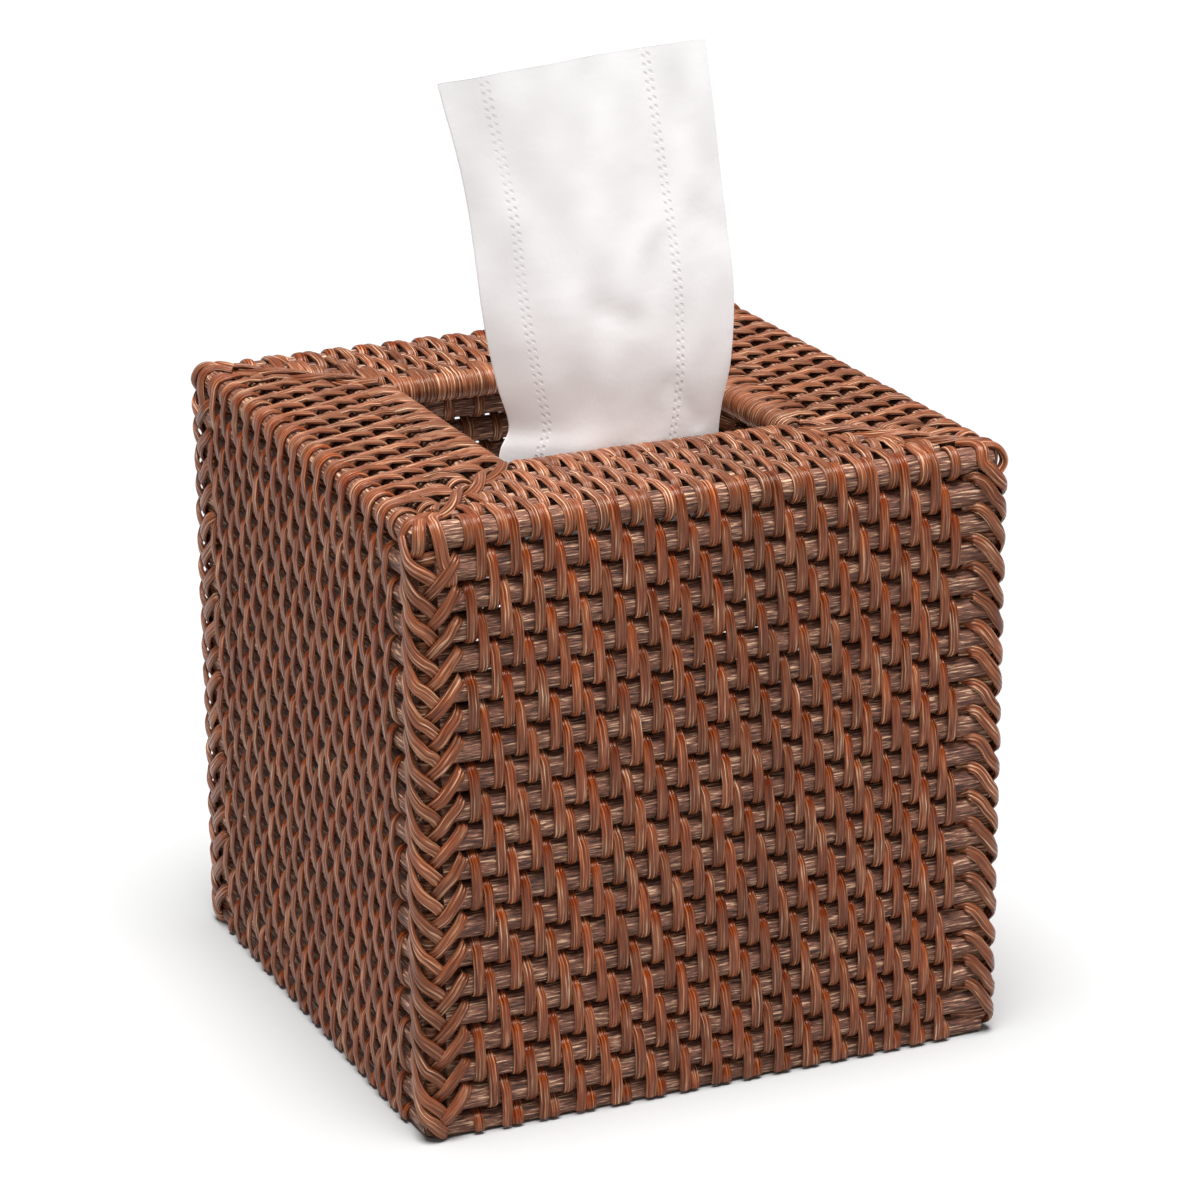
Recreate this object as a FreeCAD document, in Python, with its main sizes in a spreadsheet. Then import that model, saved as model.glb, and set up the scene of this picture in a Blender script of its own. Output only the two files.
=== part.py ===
"""Square rattan tissue box cover, woven over round canes, with the stack of tissues that it stands over.

Lengths are in millimetres. The origin is in the middle of the footprint, on the table, with +Z up.
The front wall faces -Y. Each wall is made once in the front wall's place and turned about Z to its own.
"""
import FreeCAD
import Part
import math
import os

SIZES = (
    ("cover_width", 146, "outside of the cover, from wall to wall, both ways"),
    ("cover_height", 146, "from the table to the top of the weave"),
    ("opening_width", 68, "clear width of the square mouth, both ways"),
    ("cane_diameter", 4.8, "round core canes of the walls, top, mouth and base"),
    ("edge_cane_diameter", 5.8, "stouter canes along the four top edges"),
    ("strip_width", 2.4, "flat peel strips that are woven over the canes"),
    ("strip_thickness", 0.8, "peel strips and lashings"),
    ("strip_spacing", 0.25, "least space between two strips side by side"),
    ("weave_clearance", 0.2, "from a strip to the cane that it bends round"),
    ("wall_row_slack", 0.75, "room in a wall's gaps beyond what a strip needs"),
    ("top_row_slack", 0.1, "room in the top's gaps beyond what a strip needs"),
    ("corner_margin", 12, "from the corner of the cover to the first strip"),
    ("corner_round", 2.2, "inner radius of the lashing round a corner"),
    ("butt_gap", 0.2, "from a cane's end to the cane that it butts against"),
    ("base_flat_depth", 0.5, "worn flat under the base canes"),
    ("lash_width", 2.0, "strips of the corner lashing"),
    ("lash_reach", 8.5, "from the corner to where a long arm starts, on the wall at its left"),
    ("lash_apex", 5.6, "from the corner to where a long arm ends, on the wall at its right"),
    ("lash_spread", 2.0, "between the two arms of a V where they go in"),
    ("lash_tuck", 1.2, "depth to which the arms dip between two canes"),
    ("mitre_strand_diameter", 1.5, "the two strands twisted along each mitre of the top"),
    ("mitre_strand_spacing", 0.15, "between the two strands of a twist"),
    ("mitre_twist_length", 9, "one full turn of the twist"),
    ("stack_width", 108, "folded tissues in the stack, both ways"),
    ("stack_height", 88, "the stack, with some of its tissues used"),
    ("leaf_height", 4.2, "one folded tissue in the stack"),
    ("leaf_spacing", 0.2, "air between folded tissues"),
    ("sheet_thickness", 1.2, "the folded sheet that stands in the mouth"),
    ("sheet_rise", 90, "the sheet's top above the cover"),
    ("sheet_top_width", 65, "the sheet along its top edge"),
    ("sheet_mouth_width", 54, "the sheet in the mouth"),
    ("sheet_foot_width", 46, "the sheet's foot on the stack"),
    ("sheet_seat", 0.35, "from the sheet to the rim and to the stack"),
    ("sheet_lean", 15, "how far the sheet's top stands to the left of the mouth's middle"),
    ("sheet_bow", 3, "how far the middle of the sheet curves to the front"),
    ("sheet_mouth_bow", 1.8, "the same curve in the mouth"),
    ("sheet_tilt", 3.5, "how far the sheet's top stands behind the rim"),
    ("sheet_setback", 22, "how far behind the rim the sheet leaves the stack"),
    ("cut_overrun", 5, "how far cutting shapes run past what they cut"),
)

PLACES = (
    ("strip_room", "Sizes.strip_thickness + Sizes.weave_clearance"),
    ("cane_radius", "Sizes.cane_diameter / 2"),
    ("edge_radius", "Sizes.edge_cane_diameter / 2"),
    ("wall_axis", "Sizes.cover_width / 2 - strip_room - cane_radius"),
    ("edge_axis", "Sizes.cover_width / 2 - strip_room - edge_radius"),
    ("opening_axis", "Sizes.opening_width / 2 + strip_room + cane_radius"),
    ("top_height", "Sizes.cover_height - strip_room - cane_radius"),
    ("edge_height", "Sizes.cover_height - strip_room - edge_radius"),
    ("base_height", "cane_radius - Sizes.base_flat_depth"),
    ("least_gap", "Sizes.strip_thickness + 2 * Sizes.weave_clearance"),
    ("wall_span", "edge_height - base_height - edge_radius - cane_radius"),
    ("wall_least_gap", "least_gap + Sizes.wall_row_slack"),
    ("wall_rows", "floor((wall_span - wall_least_gap) / (Sizes.cane_diameter + wall_least_gap))"),
    ("wall_gap", "(wall_span - wall_rows * Sizes.cane_diameter) / (wall_rows + 1)"),
    ("wall_pitch", "Sizes.cane_diameter + wall_gap"),
    ("first_row_height", "edge_height - edge_radius - wall_gap - cane_radius"),
    ("top_span", "edge_axis - opening_axis - edge_radius - cane_radius"),
    ("top_least_gap", "least_gap + Sizes.top_row_slack"),
    ("top_rows", "floor((top_span - top_least_gap) / (Sizes.cane_diameter + top_least_gap))"),
    ("top_gap", "(top_span - top_rows * Sizes.cane_diameter) / (top_rows + 1)"),
    ("top_pitch", "Sizes.cane_diameter + top_gap"),
    ("first_top_axis", "edge_axis - edge_radius - top_gap - cane_radius"),
    ("butt_end", "wall_axis - cane_radius - Sizes.butt_gap"),
    ("through_end", "wall_axis + cane_radius - Sizes.corner_round"),
    ("cane_length", "butt_end + through_end"),
    ("edge_butt_end", "edge_axis - edge_radius - Sizes.butt_gap"),
    ("edge_through_end", "edge_axis + edge_radius - Sizes.corner_round"),
    ("edge_cane_length", "edge_butt_end + edge_through_end"),
    ("twist_radius", "(Sizes.mitre_strand_diameter + Sizes.mitre_strand_spacing) / 2"),
    ("twist_reach", "twist_radius + Sizes.mitre_strand_diameter / 2"),
    ("mitre_inset", "(twist_reach + Sizes.weave_clearance) * sqrt(2)"),
    ("wedge_outer", "edge_axis - edge_radius"),
    ("wedge_inner", "opening_axis - cane_radius - Sizes.cut_overrun"),
    ("twist_start", "opening_axis * sqrt(2)"),
    ("twist_end", "(wedge_outer - twist_reach - Sizes.weave_clearance) * sqrt(2)"),
    ("weave_width", "Sizes.cover_width - 2 * Sizes.corner_margin"),
    ("strip_count", "floor(weave_width / (Sizes.strip_width + Sizes.strip_spacing))"),
    ("strip_pitch", "weave_width / strip_count"),
    ("leaf_count", "floor(Sizes.stack_height / (Sizes.leaf_height + Sizes.leaf_spacing))"),
    ("leaf_pitch", "Sizes.stack_height / leaf_count"),
    ("stack_top", "Sizes.stack_height - Sizes.leaf_spacing"),
)

WALLS = ("front", "right", "back", "left")
CORNERS = ("front_left", "front_right", "back_right", "back_left")
QUARTER_TURN = 90
TWILL_REPEAT = 3
LASH_ROWS = 2
LEAST_BEND = math.radians(1)
SECTIONS_PER_TWIST = 6
FOLD_SHARE = 0.48

doc = FreeCAD.newDocument("TissueBoxCover")
UP = FreeCAD.Vector(0, 0, 1)
ALONG_X = FreeCAD.Rotation(FreeCAD.Vector(0, 1, 0), QUARTER_TURN)
node_objects = []


def fill_sheet(name, rows):
    """Make a spreadsheet with a note, a value and an alias on each line."""
    sheet = doc.addObject("Spreadsheet::Sheet", name)
    for line, (alias, value, note) in enumerate(rows, 1):
        sheet.set(f"A{line}", note)
        sheet.set(f"B{line}", str(value))
        sheet.setAlias(f"B{line}", alias)
    doc.recompute()
    return sheet


sizes = fill_sheet("Sizes", SIZES)
places = fill_sheet("Places", [(alias, "=" + formula, alias) for alias, formula in PLACES])


def size(alias):
    """One driving dimension."""
    return float(sizes.get(alias))


def place(alias):
    """One length or count worked out from the driving dimensions."""
    return float(places.get(alias))


def count(alias):
    return round(place(alias))


def turned(quarter):
    """The placement that turns the front wall, or the front left corner, to another side."""
    return FreeCAD.Placement(FreeCAD.Vector(), FreeCAD.Rotation(UP, quarter * QUARTER_TURN))


def keep_node(obj, label, quarter=0):
    """Label a finished sub-part, turn it to its side and list it for export."""
    obj.Label = label
    obj.Placement = turned(quarter)
    node_objects.append(obj)
    return obj


def shape_node(label, solids, quarter=0):
    """A sub-part whose solids are made by the functions below."""
    obj = doc.addObject("Part::Feature", label)
    obj.Shape = Part.makeCompound(solids) if len(solids) > 1 else solids[0]
    return keep_node(obj, label, quarter)


def group(name, members):
    """Separate solids that make up one sub-part."""
    compound = doc.addObject("Part::Compound", name)
    compound.Links = members
    return compound


def cane(name, radius, length, start, distance, height):
    """A round cane along X in the front wall's place. The sizes are expressions."""
    rod = doc.addObject("Part::Cylinder", name)
    rod.Placement = FreeCAD.Placement(FreeCAD.Vector(), ALONG_X)
    rod.setExpression("Radius", radius)
    rod.setExpression("Height", length)
    rod.setExpression("Placement.Base.x", f"-({start})")
    rod.setExpression("Placement.Base.y", f"-({distance})")
    rod.setExpression("Placement.Base.z", height)
    return rod


def wall_canes(wall, quarter):
    """The rows of canes of one wall. Each stops at the wall on its left and runs past the one on its right."""
    rows = []
    for row in range(count("wall_rows")):
        height = f"Places.first_row_height - {row} * Places.wall_pitch"
        rows.append(cane(f"{wall}_wall_cane_{row}", "Places.cane_radius", "Places.cane_length",
                         "Places.butt_end", "Places.wall_axis", height))
    keep_node(group(f"{wall}_wall_rows", rows), f"{wall}_wall_canes", quarter)


def edge_cane(wall, quarter):
    """The stouter cane where one wall turns into the top."""
    rod = cane(f"{wall}_edge_rod", "Places.edge_radius", "Places.edge_cane_length",
               "Places.edge_butt_end", "Places.edge_axis", "Places.edge_height")
    keep_node(group(f"{wall}_edge", [rod]), f"{wall}_edge_cane", quarter)


def base_cane(wall, quarter):
    """The cane round the foot of one wall, flat underneath where the cover stands."""
    rod = cane(f"{wall}_base_rod", "Places.cane_radius", "Places.cane_length",
               "Places.butt_end", "Places.wall_axis", "Places.base_height")
    worn = doc.addObject("Part::Box", f"{wall}_base_worn")
    worn.setExpression("Length", "Sizes.cover_width")
    worn.setExpression("Width", "Sizes.cane_diameter + 2 * Sizes.cut_overrun")
    worn.setExpression("Height", "Sizes.cut_overrun")
    worn.setExpression("Placement.Base.x", "-Sizes.cover_width / 2")
    worn.setExpression("Placement.Base.y", "-Places.wall_axis - Places.cane_radius - Sizes.cut_overrun")
    worn.setExpression("Placement.Base.z", "-Sizes.cut_overrun")
    cut = doc.addObject("Part::Cut", f"{wall}_base")
    cut.Base = rod
    cut.Tool = worn
    keep_node(cut, f"{wall}_base_cane", quarter)


def mitre_wedge(name):
    """One quarter of the top, between its two mitres, with room for the twisted lashing in them."""
    wedge = doc.addObject("Part::Wedge", name)
    outer = "(Places.wedge_outer - Places.mitre_inset)"
    inner = "(Places.wedge_inner - Places.mitre_inset)"
    bounds = {
        "Xmin": f"-{outer}", "Xmax": outer, "X2min": f"-{inner}", "X2max": inner,
        "Ymin": "-Places.wedge_outer", "Ymax": "-Places.wedge_inner",
        "Zmin": "Places.top_height - Sizes.cut_overrun", "Zmax": "Places.top_height + Sizes.cut_overrun",
        "Z2min": "Places.top_height - Sizes.cut_overrun", "Z2max": "Places.top_height + Sizes.cut_overrun",
    }
    for bound, formula in bounds.items():
        wedge.setExpression(bound, formula)
    return wedge


def mitred(name, rods, wedge):
    """Canes of the top, cut at the mitres."""
    common = doc.addObject("Part::Common", name)
    common.Base = group(f"{name}_rods", rods)
    common.Tool = wedge
    return common


def top_canes(wall, quarter):
    """The canes of one quarter of the top, and the one at the mouth."""
    def top_rod(name, distance):
        return cane(name, "Places.cane_radius", "Sizes.cover_width", "Sizes.cover_width / 2",
                    distance, "Places.top_height")

    rods = []
    for row in range(count("top_rows")):
        rods.append(top_rod(f"{wall}_top_cane_{row}", f"Places.first_top_axis - {row} * Places.top_pitch"))
    if rods:
        wedge = mitre_wedge(f"{wall}_top_wedge")
        keep_node(mitred(f"{wall}_top", rods, wedge), f"{wall}_top_canes", quarter)
    mouth_rod = top_rod(f"{wall}_mouth_rod", "Places.opening_axis")
    mouth = mitred(f"{wall}_mouth", [mouth_rod], mitre_wedge(f"{wall}_mouth_wedge"))
    keep_node(mouth, f"{wall}_opening_cane", quarter)


def cane_rows():
    """The canes that a strip crosses, from the mouth to the base: distance, height and radius of each."""
    cane_radius = place("cane_radius")
    rows = [(place("opening_axis"), place("top_height"), cane_radius)]
    for row in reversed(range(count("top_rows"))):
        rows.append((place("first_top_axis") - row * place("top_pitch"), place("top_height"), cane_radius))
    rows.append((place("edge_axis"), place("edge_height"), place("edge_radius")))
    for row in range(count("wall_rows")):
        rows.append((place("wall_axis"), place("first_row_height") - row * place("wall_pitch"), cane_radius))
    rows.append((place("wall_axis"), place("base_height"), cane_radius))
    return rows


def goes_over(row, strip, edge_row):
    """Two-over-one twill: each strip passes a row lower than the one at its left."""
    return (row - edge_row - strip) % TWILL_REPEAT != 1


def strip_bends(first_row, phase):
    """The bends of a strip, cane by cane: where the cane is, the bend's radius, and its first and last angle.

    The radius is that of the strip's middle, and is negative where the strip passes inside its cane.
    """
    rows = cane_rows()
    edge_row = count("top_rows") + 1
    clearance = size("weave_clearance")
    thickness = size("strip_thickness")
    bends = []
    for row in range(first_row, len(rows)):
        distance, height, radius = rows[row]
        side = 1 if row == first_row or goes_over(row, phase, edge_row) else -1
        bends.append((distance, height, side * (radius + clearance + thickness / 2)))
    angles = [math.pi * 3 / 2 if first_row < edge_row else math.pi]
    for (x1, z1, r1), (x2, z2, r2) in zip(bends, bends[1:]):
        heading = math.atan2(z2 - z1, x2 - x1)
        angles.append(heading + math.asin((r2 - r1) / math.hypot(x2 - x1, z2 - z1)) + math.pi / 2)
    dip = math.asin((place("base_height") - clearance) / (place("cane_radius") + clearance + thickness))
    angles.append(-dip if bends[-1][2] > 0 else dip)
    return [(*bend, first, last) for bend, first, last in zip(bends, angles, angles[1:])]


def strip_side(bends, offset):
    """One face of a strip in the front wall's cross-section: arcs round the canes, joined by straight runs."""
    edges = []
    ends = []
    for x, z, radius, first, last in bends:
        def on_bend(angle):
            reach = radius + offset
            return FreeCAD.Vector(0, -x - reach * math.cos(angle), z + reach * math.sin(angle))

        if ends:
            edges.append(Part.makeLine(ends[-1], on_bend(first)))
        ends.append(on_bend(first))
        if abs(last - first) > LEAST_BEND:
            edges.append(Part.Arc(on_bend(first), on_bend((first + last) / 2), on_bend(last)).toShape())
            ends.append(on_bend(last))
    return edges, ends[0], ends[-1]


def woven_strip(first_row, phase):
    """One strip from the mouth, or from the mitre, over the edge and down to the base."""
    bends = strip_bends(first_row, phase)
    outer, outer_start, outer_end = strip_side(bends, size("strip_thickness") / 2)
    inner, inner_start, inner_end = strip_side(bends, -size("strip_thickness") / 2)
    end = Part.makeLine(outer_end, inner_end)
    start = Part.makeLine(inner_start, outer_start)
    band = Part.Face(Part.Wire(outer + [end] + inner[::-1] + [start]))
    return band.extrude(FreeCAD.Vector(size("strip_width"), 0, 0))


def first_row_at(side_step):
    """The row where a strip begins: the mouth's cane, or the first one that reaches past the mitre there."""
    rows = cane_rows()
    edge_row = count("top_rows") + 1
    keep_clear = size("strip_width") / 2 + place("mitre_inset")
    for row in range(edge_row):
        distance, _, radius = rows[row]
        if side_step <= distance - radius - place("strip_room") - keep_clear:
            return row
    return edge_row


def weave_strips():
    """The strips of one wall and its quarter of the top, side by side."""
    made = {}
    strips = []
    for strip in range(count("strip_count")):
        middle = -place("weave_width") / 2 + (strip + 1 / 2) * place("strip_pitch")
        key = (first_row_at(abs(middle)), strip % TWILL_REPEAT)
        if key not in made:
            made[key] = woven_strip(*key)
        copy = made[key].copy()
        copy.translate(FreeCAD.Vector(middle - size("strip_width") / 2, 0, 0))
        strips.append(copy)
    return strips


def corner_point(along):
    """A place on the lashed corner: along is measured round it from the corner's middle, + on the front wall."""
    face = size("cover_width") / 2 - size("strip_thickness")
    radius = size("corner_round")
    centre = FreeCAD.Vector(radius - face, radius - face, 0)
    half_arc = radius * math.pi / 4
    angle = min(max((along + half_arc) / (2 * half_arc), 0), 1) * math.pi / 2
    outward = FreeCAD.Vector(-math.cos(angle), -math.sin(angle), 0)
    past = max(abs(along) - half_arc, 0)
    straight = FreeCAD.Vector(past, 0, 0) if along > 0 else FreeCAD.Vector(0, past, 0)
    return centre + outward * radius + straight, outward


def along_at(distance):
    """Where a place that lies this far from the corner comes along the lashed surface."""
    radius = size("corner_round")
    return distance - size("strip_thickness") - radius + radius * math.pi / 4


def lash_arm(shares, first, last):
    """One arm of the lashing, a smooth bent strip between two (along, height) places, tucked in at both."""
    middles = []
    for along_share, height_share, tuck_share in shares:
        along = first[0] + (last[0] - first[0]) * along_share
        height = first[1] + (last[1] - first[1]) * height_share
        point, outward = corner_point(along)
        middles.append((point - outward * size("lash_tuck") * tuck_share + UP * height, outward))
    sections = []
    for index, (middle, outward) in enumerate(middles):
        before = middles[max(index - 1, 0)][0]
        after = middles[min(index + 1, len(middles) - 1)][0]
        heading = after - before
        heading = (heading - outward * heading.dot(outward)).normalize()
        across = outward.cross(heading) * (size("lash_width") / 2)
        outside = outward * size("strip_thickness")
        ring = [middle - across, middle + across, middle + across + outside, middle - across + outside]
        sections.append(Part.makePolygon(ring + ring[:1]))
    return Part.makeLoft(sections, True, False)


LONG_ARM_SHARES = ((0, 0, 1), (0.1, 0.12, 0.3), (0.24, 0.24, 0), (0.42, 0.36, 0), (0.52, 0.44, 0),
                   (0.62, 0.53, 0), (0.74, 0.68, 0), (0.9, 0.88, 0.3), (1, 1, 1))
SHORT_ARM_SHARES = ((0, 0, 1), (0.22, 0.24, 0.3), (0.5, 0.5, 0), (0.78, 0.76, 0.3), (1, 1, 1))


def corner_lashing():
    """The herringbone round one corner: a long arm over the corner and a short one beside it, row by row."""
    gap_heights = []
    for row in range(count("wall_rows") + 1):
        gap_heights.append(place("first_row_height") + place("wall_pitch") / 2 - row * place("wall_pitch"))
    start = -along_at(size("lash_reach"))
    apex = along_at(size("lash_apex"))
    spread = apex + size("lash_spread")
    finish = along_at(size("corner_margin") - size("lash_width") / 2)
    arms = []
    for row in range(1, len(gap_heights)):
        low = gap_heights[row]
        if row >= LASH_ROWS:
            arms.append(lash_arm(LONG_ARM_SHARES, (start, gap_heights[row - LASH_ROWS]), (apex, low)))
        arms.append(lash_arm(SHORT_ARM_SHARES, (spread, low), (finish, gap_heights[row - 1])))
    return arms


def mitre_lashing():
    """Two strands twisted round each other along one mitre of the top."""
    outward = FreeCAD.Vector(-1, -1, 0).normalize()
    sideways = UP.cross(outward)
    inner_end = place("twist_start")
    outer_end = place("twist_end")
    twist = size("mitre_twist_length")
    level = size("cover_height") - place("twist_reach")
    steps = round((outer_end - inner_end) / twist * SECTIONS_PER_TWIST)
    strands = []
    for opposite in range(2):
        sections = []
        for step in range(steps + 1):
            along = inner_end + (outer_end - inner_end) * step / steps
            angle = 2 * math.pi * (along - inner_end) / twist + math.pi * opposite
            swing = sideways * math.cos(angle) + UP * math.sin(angle)
            middle = outward * along + UP * level + swing * place("twist_radius")
            circle = Part.makeCircle(size("mitre_strand_diameter") / 2, middle, outward)
            sections.append(Part.Wire([circle]))
        strands.append(Part.makeLoft(sections, True, False))
    return strands


def folded_leaf(index):
    """One folded tissue of the stack, round along its fold. The folds lie left and right in turn."""
    width = size("stack_width")
    height = place("leaf_pitch") - size("leaf_spacing")
    low = index * place("leaf_pitch")
    leaf = Part.makeBox(width, width, height, FreeCAD.Vector(-width / 2, -width / 2, low))
    fold = width / 2 if index % 2 else -width / 2
    edges = [edge for edge in leaf.Edges if edge.BoundBox.XLength < size("leaf_spacing")
             and edge.BoundBox.YLength > height and abs(edge.CenterOfMass.x - fold) < size("leaf_spacing")]
    return leaf.makeFillet(height * FOLD_SHARE, edges)


def bowed_section(middle, width, bow):
    """A thin slice through the sheet: two arcs that curve to the front, closed by its edges."""
    thick = FreeCAD.Vector(0, size("sheet_thickness"), 0)
    left = middle + FreeCAD.Vector(-width / 2, bow, 0)
    right = middle + FreeCAD.Vector(width / 2, bow, 0)
    front = Part.Arc(left, middle, right).toShape()
    back = Part.Arc(right + thick, middle + thick, left + thick).toShape()
    return Part.Wire([front, Part.makeLine(right, right + thick), back, Part.makeLine(left + thick, left)])


SHEET_SHARES = (("foot", 1, 1), ("foot", 0.5, 0.45), ("foot", 0.12, 0), ("top", 0.05, 0),
                ("top", 0.36, 0.6), ("top", 0.7, 1), ("top", 1, 1))


def tissue_sheet():
    """The next tissue, folded along its length, from the stack up through the mouth and past it."""
    rim = size("sheet_seat") - size("opening_width") / 2
    mouth_width = size("sheet_mouth_width")
    heights = {
        "foot": place("stack_top") + size("sheet_seat"),
        "mouth": size("cover_height"),
        "top": size("cover_height") + size("sheet_rise"),
    }
    forms = {
        "foot": (0, rim + size("sheet_setback"), size("sheet_foot_width"), size("sheet_bow")),
        "mouth": (rim + size("sheet_seat") + mouth_width / 2, rim, mouth_width, size("sheet_mouth_bow")),
        "top": (-size("sheet_lean"), rim + size("sheet_tilt"), size("sheet_top_width"), size("sheet_bow")),
    }
    sections = []
    for end, height_share, form_share in SHEET_SHARES:
        height = heights["mouth"] + (heights[end] - heights["mouth"]) * height_share
        form = [here + (there - here) * form_share for here, there in zip(forms["mouth"], forms[end])]
        sideways, back, width, bow = form
        sections.append(bowed_section(FreeCAD.Vector(sideways, back, height), width, bow))
    return Part.makeLoft(sections, True, False)


strips = weave_strips()
lashing = corner_lashing()
twist = mitre_lashing()
for quarter, wall in enumerate(WALLS):
    wall_canes(wall, quarter)
    edge_cane(wall, quarter)
    base_cane(wall, quarter)
    top_canes(wall, quarter)
    shape_node(f"{wall}_weave_strips", strips, quarter)
for quarter, corner in enumerate(CORNERS):
    shape_node(f"{corner}_corner_lashing", lashing, quarter)
    shape_node(f"{corner}_mitre_lashing", twist, quarter)
shape_node("tissue_stack", [folded_leaf(index) for index in range(count("leaf_count"))])
shape_node("tissue_sheet", [tissue_sheet()])
doc.recompute()

failed = [obj.Label for obj in doc.Objects if {"Invalid", "Error"} & set(obj.State)]
for obj in node_objects:
    if obj.Shape.isNull() or not obj.Shape.isValid() or not obj.Shape.Solids:
        failed.append(obj.Label)
if failed:
    raise RuntimeError(f"Not built: {failed}")

os.makedirs("parts", exist_ok=True)
for obj in node_objects:
    obj.Shape.exportStep(f"parts/{obj.Label}.step")
print(len(node_objects), "nodes,", sum(len(obj.Shape.Solids) for obj in node_objects), "solids")
for alias in ("wall_rows", "wall_pitch", "top_rows", "top_pitch", "strip_count", "strip_pitch", "leaf_count"):
    print(alias, round(place(alias), 3))
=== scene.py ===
# %% [markdown]
# A woven rattan cover that stands over a stack of paper tissues. Round core canes lie in rows round the
# walls and the top, and split peel strips are woven over and under them, two over and one under. This
# lesson dresses the CAD model of it in Blender. The CAD model fixes every size and place, so the script
# loads it first and measures its boxes, and every strand drawn below follows from them.

# %% Load the frame
import bpy
import math
import random
import numpy as np
from mathutils import Matrix, Vector


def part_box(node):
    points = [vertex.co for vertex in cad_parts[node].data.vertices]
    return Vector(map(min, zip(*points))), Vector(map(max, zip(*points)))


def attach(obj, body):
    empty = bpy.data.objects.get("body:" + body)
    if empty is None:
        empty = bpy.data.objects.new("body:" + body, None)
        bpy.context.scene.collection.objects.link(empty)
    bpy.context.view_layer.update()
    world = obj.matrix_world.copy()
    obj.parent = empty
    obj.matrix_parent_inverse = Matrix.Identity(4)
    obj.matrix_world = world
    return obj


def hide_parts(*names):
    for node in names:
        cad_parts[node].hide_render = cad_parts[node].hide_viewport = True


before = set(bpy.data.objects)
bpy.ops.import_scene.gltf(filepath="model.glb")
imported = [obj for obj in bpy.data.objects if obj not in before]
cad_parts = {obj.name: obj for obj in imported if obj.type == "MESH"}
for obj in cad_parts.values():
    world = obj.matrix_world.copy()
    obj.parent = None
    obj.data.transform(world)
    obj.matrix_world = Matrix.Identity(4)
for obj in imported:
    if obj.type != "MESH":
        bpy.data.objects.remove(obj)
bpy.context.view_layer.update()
MM = 0.001
WALLS = ("front", "right", "back", "left")
CORNERS = ("front_left", "front_right", "back_right", "back_left")

# %% [markdown]
# Two small helpers serve the whole lesson. Colours are picked as sRGB hex values, as on a paint chip, but
# shaders work with linear light, so one function converts them. The other adds a node with its settings and
# links, which keeps each node tree below short enough to read as a recipe.


# %% Helpers for colours and nodes
def linear(hex_colour):
    """An sRGB hex value as linear red, green, blue and alpha."""
    channels = [int(hex_colour[i:i + 2], 16) / 255 for i in (1, 3, 5)]
    return [c / 12.92 if c <= 0.04045 else ((c + 0.055) / 1.055) ** 2.4 for c in channels] + [1]


def add(tree, kind, inputs=None, stops=(), **settings):
    """Add a node to a tree. Inputs are values, or sockets and nodes to link. Stops are a colour ramp's."""
    node = tree.nodes.new(kind)
    for name, value in settings.items():
        setattr(node, name, value)
    for key, value in (inputs or {}).items():
        if isinstance(value, bpy.types.Node):
            value = value.outputs[0]
        if isinstance(value, bpy.types.NodeSocket):
            tree.links.new(value, node.inputs[key])
        else:
            node.inputs[key].default_value = value
    if stops:
        elements = node.color_ramp.elements
        for place, _ in stops[1:-1]:
            elements.new(place)
        for element, (place, colour) in zip(elements, stops):
            element.position = place
            element.color = linear(colour)
    return node


print("chestnut in linear light:", [round(c, 3) for c in linear("#9A5E45")])

# %% [markdown]
# The weave follows the canes, so their places come first. A cane's box gives its axis and its radius. Only
# the counts are typed in: how many rows a wall has, how many canes lie in each quarter of the top and how
# many strips cross a wall. All of this is measured on the front wall. The other walls are the same, turned
# by quarter turns.

# %% Measure the canes
WALL_ROWS = 19
TOP_ROWS = 4
STRIPS = 46
EDGE_ROW = TOP_ROWS + 1

wall_low, wall_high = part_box("front_wall_canes")
top_low, top_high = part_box("front_top_canes")
edge_low, edge_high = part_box("front_edge_cane")
base_low, base_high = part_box("front_base_cane")
mouth_low, mouth_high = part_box("front_opening_cane")
strip_low, strip_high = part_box("front_weave_strips")

cane_radius = (wall_high.y - wall_low.y) / 2
edge_radius = (edge_high.y - edge_low.y) / 2
wall_axis = -(wall_low.y + wall_high.y) / 2
edge_axis = -(edge_low.y + edge_high.y) / 2
mouth_axis = -(mouth_low.y + mouth_high.y) / 2
top_height = (top_low.z + top_high.z) / 2
edge_height = (edge_low.z + edge_high.z) / 2
base_height = base_high.z - cane_radius
first_row = wall_high.z - cane_radius
row_pitch = (first_row - wall_low.z - cane_radius) / (WALL_ROWS - 1)
top_outer = -top_low.y - cane_radius
top_pitch = (top_outer + top_high.y - cane_radius) / (TOP_ROWS - 1)
mitre_inset = -mouth_low.y - mouth_high.x
print("canes", round(2 * cane_radius / MM, 2), "mm thick, rows", round(row_pitch / MM, 2), "mm apart")

# %% [markdown]
# A strip crosses all canes of its wall, from the mouth over the edge to the foot, so they are put in one
# list: distance from the middle, height and radius. The wall canes are drawn fuller than the solids further
# down, so the strips get a wider bed on them here. The bed is still a little narrower than the drawn cane,
# so that a strip presses into it.

# %% The canes that a strip crosses
BED_FULL = 1.15

cane_rows = [(mouth_axis, top_height, cane_radius)]
for row in reversed(range(TOP_ROWS)):
    cane_rows.append((top_outer - row * top_pitch, top_height, cane_radius))
cane_rows.append((edge_axis, edge_height, edge_radius))
for row in range(WALL_ROWS):
    cane_rows.append((wall_axis, first_row - row * row_pitch, cane_radius * BED_FULL))
cane_rows.append((wall_axis, base_height, cane_radius))
print(len(cane_rows), "canes from mouth to base")

# %% [markdown]
# Every cane, strip and lashing is a strand: a line with a section drawn along it. They could be swept one
# by one from curve objects, but there are hundreds of them. So one Geometry Nodes tree turns a whole set of
# lines into strands. Two helpers open and close a tree: it has named inputs, and it ends with real meshes
# that carry their material, because instances would be lost in the export.


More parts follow.
